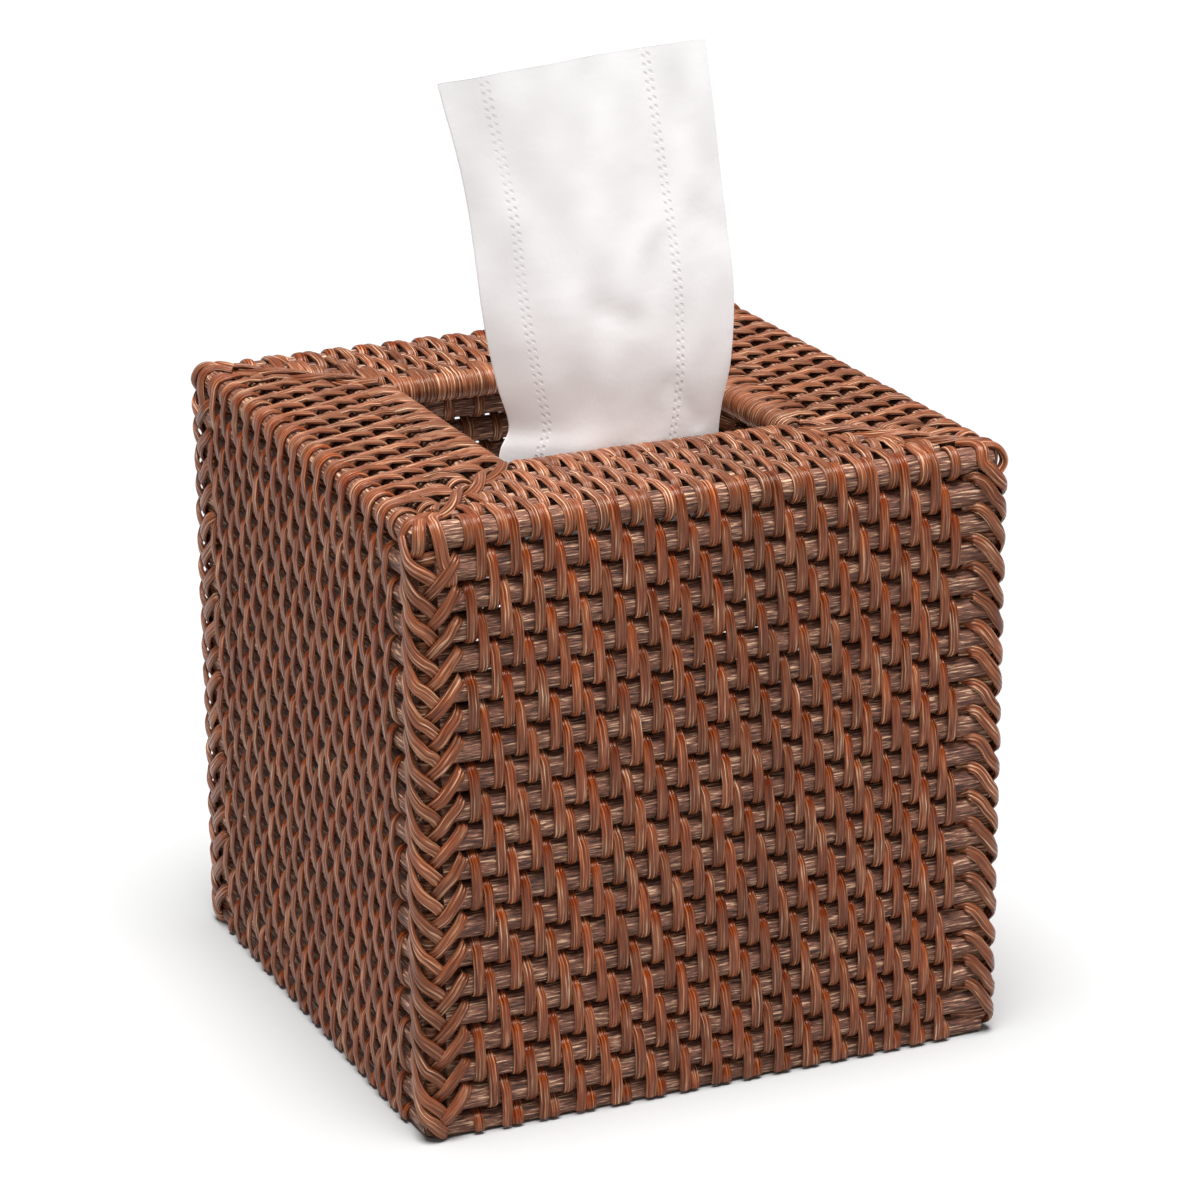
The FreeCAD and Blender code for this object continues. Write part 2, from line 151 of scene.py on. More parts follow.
# %% Opening and closing a tree
def new_tree(name, inputs):
    """A Geometry Nodes tree, and the sockets at which its named inputs arrive."""
    tree = bpy.data.node_groups.new(name, "GeometryNodeTree")
    for label, kind in (("Geometry", "Geometry"), *inputs):
        tree.interface.new_socket(label, in_out="INPUT", socket_type=f"NodeSocket{kind}")
    tree.interface.new_socket("Geometry", in_out="OUTPUT", socket_type="NodeSocketGeometry")
    return tree, tree.nodes.new("NodeGroupInput").outputs


def close_tree(tree, geometry, material):
    real = add(tree, "GeometryNodeRealizeInstances", {"Geometry": geometry})
    painted = add(tree, "GeometryNodeSetMaterial", {"Geometry": real, "Material": material})
    add(tree, "NodeGroupOutput", {0: painted})
    print(tree.name, "has", len(tree.nodes), "nodes")


# %% [markdown]
# Python only lays the lines, as edges of a mesh, and notes at each point which way is outward and how wide
# the strand is there. The tree lets each line wander a little with noise, as natural cane does. Each strand
# has a number of its own, which takes it to another part of the noise.

# %% Lines that wander
NOISE_APART = 97.0  # times a strand's number, from 0 to 1


def wandering_lines(tree, given):
    lines = add(tree, "GeometryNodeMeshToCurve", {"Mesh": given["Geometry"]})
    strand = add(tree, "GeometryNodeInputNamedAttribute", {"Name": "strand"}, data_type="FLOAT")
    lane = add(tree, "ShaderNodeMath", {0: strand, 1: NOISE_APART, 2: given["Seed"]},
               operation="MULTIPLY_ADD")
    often = add(tree, "ShaderNodeMath", {0: 1.0, 1: given["Wander length"]}, operation="DIVIDE")
    place = add(tree, "GeometryNodeInputPosition")
    noise = add(tree, "ShaderNodeTexNoise", {"Vector": place, "W": lane, "Scale": often, "Detail": 1.0},
                noise_dimensions="4D")
    centred = add(tree, "ShaderNodeVectorMath", {0: noise.outputs["Color"], 1: (0.5, 0.5, 0.5)},
                  operation="SUBTRACT")
    twice = add(tree, "ShaderNodeMath", {0: given["Wander"], 1: 2.0}, operation="MULTIPLY")
    wander = add(tree, "ShaderNodeVectorMath", {0: centred, "Scale": twice}, operation="SCALE")
    lines = add(tree, "GeometryNodeSetPosition", {"Geometry": lines, "Offset": wander})
    outward = add(tree, "GeometryNodeInputNamedAttribute", {"Name": "outward"}, data_type="FLOAT_VECTOR")
    lines = add(tree, "GeometryNodeSetCurveNormal", {"Curve": lines, "Normal": outward}, mode="FREE")
    length = add(tree, "GeometryNodeSplineParameter").outputs["Length"]
    return add(tree, "GeometryNodeStoreNamedAttribute", {"Geometry": lines, "Name": "along", "Value": length},
               data_type="FLOAT", domain="POINT")


# %% [markdown]
# The section that is swept can be anything from an ellipse to nearly a rectangle: a power below one swells
# a circle towards a square. The tree also notes where across and towards the face of the strand each point
# lies, so that a material can draw fibres that follow it.


# %% The strand tree
def strand_section(tree, given):
    ring = add(tree, "GeometryNodeCurvePrimitiveCircle", {"Resolution": given["Sides"], "Radius": 1.0},
               mode="RADIUS")
    here = add(tree, "ShaderNodeSeparateXYZ", {0: add(tree, "GeometryNodeInputPosition")})
    for name, axis in (("face", "X"), ("across", "Y")):
        noted = {"Geometry": ring, "Name": name, "Value": here.outputs[axis]}
        ring = add(tree, "GeometryNodeStoreNamedAttribute", noted, data_type="FLOAT", domain="POINT")
    blunt = add(tree, "ShaderNodeMath", {0: 1.0, 1: given["Squareness"]}, operation="SUBTRACT")
    sides = {}
    for axis, extent in (("X", "Thickness"), ("Y", "Width")):
        size = add(tree, "ShaderNodeMath", {0: here.outputs[axis]}, operation="ABSOLUTE")
        swollen = add(tree, "ShaderNodeMath", {0: size, 1: blunt}, operation="POWER")
        sign = add(tree, "ShaderNodeMath", {0: here.outputs[axis]}, operation="SIGN")
        signed = add(tree, "ShaderNodeMath", {0: swollen, 1: sign}, operation="MULTIPLY")
        half = add(tree, "ShaderNodeMath", {0: given[extent], 1: 0.5}, operation="MULTIPLY")
        sides[axis] = add(tree, "ShaderNodeMath", {0: signed, 1: half}, operation="MULTIPLY")
    shaped = add(tree, "ShaderNodeCombineXYZ", sides)
    return add(tree, "GeometryNodeSetPosition", {"Geometry": ring, "Position": shaped})


def strand_tree():
    tree, given = new_tree("strands_along_lines", (
        ("Width", "Float"), ("Thickness", "Float"), ("Squareness", "Float"), ("Sides", "Int"),
        ("Wander", "Float"), ("Wander length", "Float"), ("Seed", "Float"), ("Material", "Material")))
    share = add(tree, "GeometryNodeInputNamedAttribute", {"Name": "share"}, data_type="FLOAT")
    strands = add(tree, "GeometryNodeCurveToMesh", {
        "Curve": wandering_lines(tree, given), "Profile Curve": strand_section(tree, given), "Scale": share,
        "Fill Caps": True})
    close_tree(tree, strands, given["Material"])
    return tree


STRAND_TREE = strand_tree()

# %% [markdown]
# The lines of a whole set are laid as the edges of one mesh. They are worked out in the front wall's place
# and turned to the other walls. Each strand's own number comes from a seeded generator, and its wandering
# and its tone both come from that number.


# %% Laying lines
def turned(points, quarter):
    """Points or directions of the front wall, turned about Z to another wall."""
    turn = np.array(Matrix.Rotation(quarter * math.pi / 2, 3, "Z"))
    return np.asarray(points, float) @ turn.T


def wall_set(lines, quarter):
    """Strands of the front wall, turned to another wall."""
    return [(turned(line, quarter), turned(normals, quarter), *shares) for line, normals, *shares in lines]


def lay_lines(name, strands, seed):
    """A mesh of edges from strands: tuples of points, outward directions, width shares and stain shares."""
    tones = random.Random(seed)
    points, edges, outward, shares, stains, numbers = [], [], [], [], [], []
    for line, normals, share, stain in strands:
        start = len(points)
        points += [tuple(p) for p in line]
        outward += [tuple(n) for n in normals]
        shares += list(np.broadcast_to(share, len(line)))
        stains += list(np.broadcast_to(stain, len(line)))
        numbers += [tones.random()] * len(line)
        edges += [(start + i, start + i + 1) for i in range(len(line) - 1)]
    mesh = bpy.data.meshes.new(name)
    mesh.from_pydata(points, edges, [])
    mesh.attributes.new("outward", "FLOAT_VECTOR", "POINT").data.foreach_set("vector", np.ravel(outward))
    for kind, values in (("share", shares), ("stain", stains), ("strand", numbers)):
        mesh.attributes.new(kind, "FLOAT", "POINT").data.foreach_set("value", values)
    return mesh


print("a quarter turn takes the front to", np.round(turned((0, -1, 0), 1)).tolist())

# %% [markdown]
# The tree runs on the lines, and the result is baked to a plain mesh, so that nothing live is left on the
# piece. A modifier stores its inputs under the sockets' identifiers, so they are set by these. Sharp
# corners, such as a cane's cut end, keep a crisp edge. The piece then hides the CAD nodes that it stands
# for and is hung on the body that carries it.

# %% From lines to a finished piece
SHARP_ANGLE = math.radians(50)


def baked(name, mesh, tree, settings):
    """Run a tree on a mesh and keep the result as a plain mesh object."""
    worker = bpy.data.objects.new(name + "_lines", mesh)
    bpy.context.collection.objects.link(worker)
    modifier = worker.modifiers.new("strands", "NODES")
    modifier.node_group = tree
    for socket in tree.interface.items_tree:
        if socket.in_out == "INPUT" and socket.name in settings:
            modifier[socket.identifier] = settings[socket.name]
    evaluated = worker.evaluated_get(bpy.context.evaluated_depsgraph_get())
    piece = bpy.data.objects.new(name, bpy.data.meshes.new_from_object(evaluated))
    bpy.data.objects.remove(worker)
    bpy.context.collection.objects.link(piece)
    piece.data.shade_smooth()
    piece.data.set_sharp_from_angle(angle=SHARP_ANGLE)
    return piece


def finish_piece(piece, body, slot, *nodes):
    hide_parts(*nodes)
    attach(piece, body)
    triangles = sum(len(p.vertices) - 2 for p in piece.data.polygons)
    print(f"{piece.name}: {triangles} triangles")


def cover_piece(name, strands, seed, settings, slot, node):
    """A set of strands as one piece of the cover."""
    piece = baked(name, lay_lines(name, strands, seed), STRAND_TREE, {"Seed": float(seed), **settings})
    finish_piece(piece, "cover", slot, node)


# %% [markdown]
# Both rattan finishes are drawn along the strand. A texture in plain object coordinates would cut straight
# through the weave, so the materials read the places that the tree noted: along the strand, across it, and
# towards its face. Those three, divided by the sizes of a fibre, give noise that is stretched lengthwise
# like the real fibres.

# %% Helpers for the materials
FIBRES_APART = 83.0  # times a strand's number, from 0 to 1


def blank_material(name, finish):
    """A new material with constants set on its shader, its node tree and the shader."""
    material = bpy.data.materials.new(name)
    material.use_nodes = True
    shader = material.node_tree.nodes["Principled BSDF"]
    for socket, value in finish.items():
        shader.inputs[socket].default_value = value
    print("material:", name)
    return material, material.node_tree, shader


def fibre_noise(tree, fibre_length, fibre_width, half_width, detail):
    """Noise stretched along a strand. The sizes are in metres."""
    spots = []
    for name, scale in (("along", 1 / fibre_length), ("across", half_width / fibre_width),
                        ("face", half_width / fibre_width), ("strand", FIBRES_APART)):
        place = add(tree, "ShaderNodeAttribute", attribute_name=name).outputs["Fac"]
        spots.append(add(tree, "ShaderNodeMath", {0: place, 1: scale}, operation="MULTIPLY"))
    along, across, face, lane = spots
    spot = add(tree, "ShaderNodeCombineXYZ", {"X": along, "Y": across, "Z": face})
    noise = add(tree, "ShaderNodeTexNoise", {
        "Vector": spot, "W": lane, "Scale": 1.0, "Detail": detail, "Roughness": 0.6}, noise_dimensions="4D")
    return noise.outputs["Fac"]


# %% [markdown]
# The core canes are the inside of the rattan vine, drawn through a round die and stained. The die opens the
# pores lengthwise, so a cane shows fine pale fibres on a dull grey-brown ground, with hardly any gloss.

# %% Material: drawn rattan core, stained
CANE_FIBRE_LENGTH = 4.5 * MM
CANE_FIBRE_WIDTH = 0.3 * MM  # twice the real pore spacing, which would be lost at this picture size
CANE_RELIEF = 0.7 * MM


def drawn_core():
    material, tree, shader = blank_material("drawn_rattan_core_stained", {"Roughness": 0.55, "IOR": 1.5})
    fibres = fibre_noise(tree, CANE_FIBRE_LENGTH, CANE_FIBRE_WIDTH, cane_radius, 4.0)
    # the pale lines are opened pores, the dark ones stain that has sunk in between
    ground = add(tree, "ShaderNodeValToRGB", {"Fac": fibres}, stops=(
        (0.36, "#25110A"), (0.45, "#663C2B"), (0.55, "#8A5843"), (0.64, "#E2BB98")))
    tree.links.new(ground.outputs["Color"], shader.inputs["Base Color"])
    bump = add(tree, "ShaderNodeBump", {"Height": fibres, "Distance": CANE_RELIEF, "Strength": 1.0})
    tree.links.new(bump.outputs[0], shader.inputs["Normal"])
    return material


CORE = drawn_core()

# %% [markdown]
# The peel strips are split from the skin of the vine. The skin is hard and smooth, takes the stain unevenly
# and keeps a soft gloss. Each strip shows two or three lengthwise ridges, with painted highlight on the
# crests and painted shade in the grooves, orange-brown patches where the stain has pooled, and no two
# strips have quite the same tone.

# %% Material: split rattan peel, stained and varnished
STRIP_WIDTH = 2.72 * MM
PEEL_FIBRE_LENGTH = 9 * MM
PEEL_FIBRE_WIDTH = 0.36 * MM  # coarser than real fibres, which would be lost at this picture size
PATCH_LENGTH = 6 * MM
PATCH_WIDTH = 4 * MM
PEEL_RELIEF = 0.5 * MM
RIDGES = 3.4
RIDGE_SHIFT = 9.0  # times a strand's number, in radians
RIDGE_PAINTED_HIGHLIGHT, RIDGE_HEIGHT = 0.06, 0.24


def split_peel():
    # the stain is in the varnish too, which warms its shine
    material, tree, shader = blank_material("split_rattan_peel_varnished", {
        "IOR": 1.5, "Specular Tint": linear("#FFE0CC"), "Coat Weight": 0.1, "Coat Roughness": 0.25})
    strand, across, stain = [add(tree, "ShaderNodeAttribute", attribute_name=name).outputs["Fac"]
                             for name in ("strand", "across", "stain")]
    fibres = fibre_noise(tree, PEEL_FIBRE_LENGTH, PEEL_FIBRE_WIDTH, STRIP_WIDTH / 2, 2.0)
    patches = fibre_noise(tree, PATCH_LENGTH, PATCH_WIDTH, STRIP_WIDTH / 2, 1.0)
    # lengthwise ridges, shifted from strip to strip; the wave also paints highlight on crests, shade in
    # grooves
    angle = add(tree, "ShaderNodeMath", {0: across, 1: math.pi * RIDGES}, operation="MULTIPLY")
    phase = add(tree, "ShaderNodeMath", {0: strand, 1: RIDGE_SHIFT, 2: angle}, operation="MULTIPLY_ADD")
    wave = add(tree, "ShaderNodeMath", {0: phase}, operation="COSINE")
    tone, relief = [add(tree, "ShaderNodeMath", {0: wave, 1: size, 2: fibres}, operation="MULTIPLY_ADD")
                    for size in (RIDGE_PAINTED_HIGHLIGHT, RIDGE_HEIGHT)]
    # plain skin, and the deep orange brown where the stain has pooled at a bend
    skin = add(tree, "ShaderNodeValToRGB", {"Fac": tone}, stops=(
        (0.26, "#4C2614"), (0.44, "#7C452B"), (0.58, "#9C6244"), (0.69, "#EAC5A4")))
    deep = add(tree, "ShaderNodeValToRGB", {"Fac": tone}, stops=(
        (0.26, "#3C1102"), (0.5, "#7A2C08"), (0.74, "#BB6423")))
    spread = add(tree, "ShaderNodeMapRange", {"Value": patches, "From Min": 0.3, "From Max": 0.52})
    pooled = add(tree, "ShaderNodeMath", {0: stain, 1: spread}, operation="MULTIPLY")
    mixed = add(tree, "ShaderNodeMix", {"Factor": pooled, 6: skin, 7: deep}, data_type="RGBA").outputs[2]
    shade = add(tree, "ShaderNodeMapRange", {"Value": strand, "To Min": 0.76, "To Max": 1.2})
    toned = add(tree, "ShaderNodeHueSaturation", {"Value": shade, "Color": mixed})
    tree.links.new(toned.outputs[0], shader.inputs["Base Color"])
    bump = add(tree, "ShaderNodeBump", {"Height": relief, "Distance": PEEL_RELIEF, "Strength": 1.0})
    tree.links.new(bump.outputs[0], shader.inputs["Normal"])
    # the pooled varnish is smoother than the bare skin
    gloss = add(tree, "ShaderNodeMapRange", {"Value": pooled, "To Min": 0.38, "To Max": 0.26})
    tree.links.new(gloss.outputs[0], shader.inputs["Roughness"])
    return material


PEEL = split_peel()

# %% [markdown]
# Now the canes. A cane that is straight as a rod looks like plastic, so each one wanders by a fraction of a
# millimetre, which the tree does, and swells and thins a little along its length, which its line says.

# %% The line of one cane
CANE_STEP = 3 * MM
CANE_SWELL = 0.03
SWELL_LENGTH = 9 * MM  # for one radian of a swell


def cane_line(start, end, distance, height, luck, fullness=1.0):
    """A cane along X in the front wall's place."""
    steps = max(int((end - start) / CANE_STEP), 2)
    xs = np.linspace(start, end, steps + 1)
    line = np.column_stack([xs, np.full_like(xs, -distance), np.full_like(xs, height)])
    swell = fullness + CANE_SWELL * np.sin(xs / SWELL_LENGTH + luck.uniform(0, 6)) * luck.uniform(-1, 1)
    return line, np.tile((0.0, 0.0, 1.0), (len(xs), 1)), swell, 0.0


print("an edge cane has", len(cane_line(edge_low.x, edge_high.x, 0, 0, random.Random(0))[0]), "points")

# %% [markdown]
# Each wall has its rows, a stouter cane at the top edge, one at the foot, and the canes of its quarter of
# the top, cut at the mitres. Woven canes are pressed together until almost no light comes through, so most
# are drawn fuller than the solids, above all the first row, which is pushed up under the edge cane. The
# foot is flattened where it stands on the table, and grows upwards only.

# %% Canes
CANE_LUCK = 10
FIRST_FULL, PRESSED_FULL, EDGE_FULL, TOP_FULL = 1.34, 1.29, 1.06, 1.03
FOOT_FULL = 0.7 * MM
foot_thick = base_high.z - base_low.z + FOOT_FULL
foot_height = (base_low.z + base_high.z + FOOT_FULL) / 2

ROUND_CANE = {"Width": 2 * cane_radius, "Thickness": 2 * cane_radius, "Squareness": 0.0, "Sides": 16,
              "Wander": 0.35 * MM, "Wander length": 25 * MM, "Material": CORE}
EDGE_CANE = {**ROUND_CANE, "Width": 2 * edge_radius, "Thickness": 2 * edge_radius, "Wander": 0.2 * MM}
FOOT_CANE = {**ROUND_CANE, "Thickness": foot_thick, "Squareness": 0.1, "Wander": 0.1 * MM}

for quarter, wall in enumerate(WALLS):
    luck = random.Random(CANE_LUCK + quarter)
    rows = []
    for row in range(WALL_ROWS):
        height = first_row - row * row_pitch
        fullness = PRESSED_FULL if row else FIRST_FULL
        rows.append(cane_line(wall_low.x, wall_high.x, wall_axis, height, luck, fullness))
    edge = [cane_line(edge_low.x, edge_high.x, edge_axis, edge_height, luck, EDGE_FULL)]
    foot = [cane_line(base_low.x, base_high.x, wall_axis, foot_height, luck)]
    top = []
    for row in range(TOP_ROWS):
        distance = top_outer - row * top_pitch
        half = distance - mitre_inset
        top.append(cane_line(-half, half, distance, top_height, luck, TOP_FULL))
    mouth_half = mouth_axis - mitre_inset
    mouth = [cane_line(-mouth_half, mouth_half, mouth_axis, top_height, luck)]
    for seed, piece, node, lines, form in (
            (20, "wall_rows", "wall_canes", rows, ROUND_CANE), (30, "edge", "edge_cane", edge, EDGE_CANE),
            (40, "foot", "base_cane", foot, FOOT_CANE), (50, "top_rows", "top_canes", top, ROUND_CANE),
            (60, "mouth", "opening_cane", mouth, ROUND_CANE)):
        cover_piece(f"{wall}_{piece}", wall_set(lines, quarter), seed + quarter, form, "rattan_core",
                    f"{wall}_{node}")

# %% [markdown]
# Now the weave. A strip runs like a belt over pulleys: round each cane it passes it bends in an arc, and
# between two canes it runs straight. Two over and one under, each strip a row lower than the strip at its
# left, gives the diagonal of a twill. A strip is springy, so between the two canes of a float it bows
# outward. That bow is one more pulley, a wide one that touches both bends.

# %% The bends of one strip
STRIP_THICKNESS = 0.8 * MM
STRIP_CLEARANCE = 0.2 * MM
BOW_ANGLE = math.radians(15)
TWILL_REPEAT = 3


def over(row, strip):
    return (row - EDGE_ROW - strip) % TWILL_REPEAT != 1


def tangent_angle(bend, after):
    """The outward direction of a strip on its straight way from one bend to the next."""
    (x1, z1, r1), (x2, z2, r2) = bend, after
    slope = min(max((r2 - r1) / math.hypot(x2 - x1, z2 - z1), -1), 1)
    return math.atan2(z2 - z1, x2 - x1) + math.asin(slope) + math.pi / 2


def bow_between(bend, after):
    """The wide bend that lifts a float between its two canes. It touches the bends round both of them."""
    (x1, z1, r1), (x2, z2, r2) = bend, after
    leave = tangent_angle(bend, after) + BOW_ANGLE
    apart = (x1 - x2) * math.cos(leave) + (z1 - z2) * math.sin(leave) + r1 - r2
    wider = ((x1 - x2) ** 2 + (z1 - z2) ** 2 - (r1 - r2) ** 2) / (2 * apart)
    return x1 - wider * math.cos(leave), z1 - wider * math.sin(leave), r1 + wider


def strip_bends(strip, first):
    """The rows and bends of one strip: distance and height of the centre, and radius, negative if under."""
    rows, bends = [], []
    for row in range(first, len(cane_rows)):
        distance, height, radius = cane_rows[row]
        side = 1 if row == first or over(row, strip) else -1
        bend = (distance, height, side * (radius + STRIP_CLEARANCE + STRIP_THICKNESS / 2))
        if bends and bends[-1][2] > 0 and side > 0:
            bends.append(bow_between(bends[-1], bend))
            rows.append(row - 0.5)
        bends.append(bend)
        rows.append(row)
    return rows, bends


print("the first strip, taken from the mouth to the foot, has", len(strip_bends(0, 0)[1]), "bends")

# %% [markdown]
# The weaver pulls every strip a little sideways where it comes out from under a cane, so a float starts at
# the left and straightens downwards. The stain runs along the strip and pools where a float bends over its
# first cane. The strips on the top took less of it.

# %% The pull and the stain of one strip
COMING_OUT, SETTLING, GOING_UNDER = -0.3 * MM, 0.25 * MM, 0.45 * MM
TOP_STAIN = 0.2
START_STAIN = 0.5
FLOAT_STAINS = (0.35, 0.0, 1.0)  # at the second cane of a float, under a cane, at the first cane of a float


def sideways_at(row, strip, first):
    """How far the weaver's pull has moved a strip at one cane."""
    step = (row - EDGE_ROW - strip) % TWILL_REPEAT
    return 0.0 if row == first else (SETTLING, GOING_UNDER, COMING_OUT)[step]


def pooled_at(row, strip, first):
    """How much stain has pooled on a strip at one cane."""
    if row < EDGE_ROW:
        return TOP_STAIN
    return START_STAIN if row == first else FLOAT_STAINS[(row - EDGE_ROW - strip) % TWILL_REPEAT]


print("stain down the first strip:", [pooled_at(row, 0, EDGE_ROW) for row in range(EDGE_ROW, EDGE_ROW + 4)])

# %% [markdown]
# The line of a strip follows its bends in short steps. It starts behind its first cane and ends at the
# foot, where it must stay above the table. Each point also knows how far down the wall it is.

# %% The line of one strip
BEND_STEP = math.radians(16)
SAME_PLACE = 0.05 * MM
STRIP_HALF = 1.0 * MM  # half a strip with its wandering


def strip_line(strip, first):
    """Points, outward directions, sideways shift, stain and share of the way down of one strip, at x = 0."""
    places, bends = strip_bends(strip, first)
    angles = [math.pi * 3 / 2 if first < EDGE_ROW else math.pi]
    angles += [tangent_angle(bend, after) for bend, after in zip(bends, bends[1:])]
    dip = math.asin((base_height - STRIP_HALF) / (cane_radius + STRIP_CLEARANCE + STRIP_THICKNESS))
    angles.append(min(-dip, angles[-1]) if bends[-1][2] > 0 else dip)
    points, normals, pull = [], [], []
    for row, (distance, height, radius), start, end in zip(places, bends, angles, angles[1:]):
        steps = max(math.ceil(abs(end - start) / BEND_STEP), 1)
        for step in range(steps + 1):
            angle = start + (end - start) * step / steps
            out = np.array((0.0, -math.cos(angle), math.sin(angle)))
            point = np.array((0.0, -distance, height)) + out * radius
            if points and np.linalg.norm(point - points[-1]) < SAME_PLACE:
                continue
            points.append(point)
            normals.append(out)
            pull.append(row + (step / steps - 0.5) * 0.5)
    rows = np.arange(first, len(cane_rows))
    shift = np.interp(pull, rows, [sideways_at(row, strip, first) for row in rows])
    pooled = np.interp(pull, rows, [pooled_at(row, strip, first) for row in rows])
    down = np.clip((np.array(pull) - EDGE_ROW) / WALL_ROWS, 0, 1)
    return np.array(points), np.array(normals), shift, pooled, down


print("its line has", len(strip_line(0, 0)[0]), "points")

# %% [markdown]
# All strips of one wall make one piece. Near a corner a strip can't reach the mouth, because the mitre cuts
# the canes of the top short there, so it starts at the first cane that is long enough. At the mouth the
# strips lie edge to edge and are pressed a little wider, which gives the dense band round the opening. The
# whole weave drifts to the right on its way down the wall, most in the middle.

# %% Weave strips
WEAVE_LUCK, WEAVE_SEED = 70, 80
DRIFT = 6.5 * MM
UNEVEN = 0.12  # mm to either side
STRIP_SHARES = (0.9, 1.06)
PRESSED_WIDE = 1.1
strip_pitch = (strip_high.x - strip_low.x - STRIP_WIDTH) / (STRIPS - 1)
weave_half = (strip_high.x - strip_low.x) / 2


def first_row_for(x):
    margin = STRIP_WIDTH / 2 + mitre_inset
    for row in range(EDGE_ROW):
        if abs(x) <= cane_rows[row][0] - margin:
            return row
    return EDGE_ROW


def wall_strips(luck):
    strands = []
    for strip in range(STRIPS):
        x = strip_low.x + STRIP_WIDTH / 2 + strip * strip_pitch
        first = first_row_for(x)
        points, normals, shift, pooled, down = strip_line(strip, first)
        drift = DRIFT * (1 - (x / weave_half) ** 2) * down
        points[:, 0] = x + shift + drift + luck.uniform(-UNEVEN, UNEVEN) * MM
        share = np.full(len(points), luck.uniform(*STRIP_SHARES))
        if first == 0:
            share[points[:, 1] > -mouth_axis] = PRESSED_WIDE
        strands.append((points, normals, share, pooled))
    return strands


PEEL_STRIP = {"Width": STRIP_WIDTH, "Thickness": 1.05 * MM, "Squareness": 0.06, "Sides": 10,
              "Wander": 0.2 * MM, "Wander length": 9 * MM, "Material": PEEL}
for quarter, wall in enumerate(WALLS):
    strips = wall_set(wall_strips(random.Random(WEAVE_LUCK + quarter)), quarter)
    cover_piece(f"{wall}_weave", strips, WEAVE_SEED + quarter, PEEL_STRIP, "rattan_peel",
                f"{wall}_weave_strips")

# %% [markdown]
# The lashings are strands that turn freely in space, so each is given by a few places that it passes, and
# a smooth curve is led through them. The outward direction is smoothed along with the place, so that the
# flat strand turns with the surface under it.


# %% A smooth line through a few places
def smooth_line(places, steps):
    """Points on a smooth curve through places, with steps between two of them."""
    places = np.asarray(places, float)
    padded = np.vstack([2 * places[0] - places[1], places, 2 * places[-1] - places[-2]])
    line = []
    for a, b, c, d in zip(padded, padded[1:], padded[2:], padded[3:]):
        for t in np.arange(steps) / steps:
            line.append(0.5 * (2 * b + (c - a) * t + (2 * a - 5 * b + 4 * c - d) * t ** 2
                               + (3 * b - a - 3 * c + d) * t ** 3))
    return np.array(line + [places[-1]])


def strand_through(places, steps, share, stain):
    """A strand through places of x, y, z and outward direction."""
    line = smooth_line(places, steps)
    outward = line[:, 3:] / np.linalg.norm(line[:, 3:], axis=1)[:, None]
    return line[:, :3], outward, share, stain


print("halfway from 0 to 1:", smooth_line([[0.0], [1.0]], 2)[1].tolist())

# %% [markdown]
# The corners are lashed with a herringbone. A long arm comes out of a gap in the wall at the left, falls
# steeply to the corner, turns over it and slants down to a gap in the front wall. From there a short arm
# goes back up to the right, over the end of the long arm, and dips into the gap above. Inside the cover the
# strand runs back across the corner to where the next long arm starts, and one more run in each gap closes
# the corner itself. The arms bulge a little, so they carry the outline at the corner.

# %% Places at a corner
CORNER_ROUND = 3.0 * MM
# places of an arm in mm: distance from the corner (left wall -, front wall +), height above the gap, depth
LONG_ARM = ((-9, 13.4, 3), (-8, 14.4, 1), (-6.4, 13.8, -0.1), (-4.8, 12.1, -0.4), (-3.2, 9.8, -0.5),
            (-1.6, 7.6, -0.6), (0, 5.9, -0.6), (1.6, 4.6, -0.5), (3.4, 3, -0.2), (5, 1.2, 0.5), (5.8, 0, 2.2))
SHORT_ARM = ((2.6, -2.4, 1.3), (3.6, -1.3, 0.6), (5.2, 0.6, -0.5), (7.2, 2.9, -0.6), (9, 5.0, -0.2),
             (10.3, 6.5, 0.6), (10.9, 7, 2.4))
CORNER_RUN = ((-10, 0, 3.0), (-5, 0, 1.7), (0, 0, 1.2), (5, 0, 1.7), (10, 0, 3.0))
INNER_RUN = ((-15, 0, 5.2), (-9, 0, 6), (0, 0, 9), (9, 0, 6), (15, 0, 5.2))
lash_plane = -strip_low.y - STRIP_THICKNESS / 2


def corner_spot(along, height, depth):
    """A place at the front left corner with its outward direction."""
    angle = min(max((along + CORNER_ROUND) / (2 * CORNER_ROUND), 0), 1) * math.pi / 2
    out = np.array((-math.cos(angle), -math.sin(angle), 0.0))
    past = max(abs(along) - CORNER_ROUND, 0)
    straight = np.array((past, 0.0, 0.0)) if along > 0 else np.array((0.0, past, 0.0))
    centre = np.array((CORNER_ROUND - lash_plane, CORNER_ROUND - lash_plane, height))
    return np.concatenate([centre + out * (CORNER_ROUND - depth) + straight, out])


print("the corner itself, in mm:", np.round(corner_spot(0, 0, 0)[:2] / MM, 2).tolist())

# %% [markdown]
# No two arms lie quite alike. Each one as a whole sits a little higher or lower, and each of its places is
# a fraction of a millimetre off, all from one seeded generator for each corner.

# %% Corner lashing
LASH_LUCK, LASH_SEED = 100, 110
LOOSE, ASTRAY, IN_OR_OUT = 0.5, 0.2, 0.1  # mm: a whole arm up or down, one of its places, the depth there
ARM_STEPS = 3
ARM_SHARES = (0.92, 1.06)
LONG_STAIN, SHORT_STAIN, HIDDEN_STAIN, FOOT_STAIN = 0.35, 0.5, 0.0, 0.3
INNER_LEVELS = (1.0 * MM, -1.8 * MM)
FOOT_CLEAR = 1.8 * MM  # lowest line of an arm, so that its edge stays above the table
FOOT_ARM_LIFT = 1.6 * MM


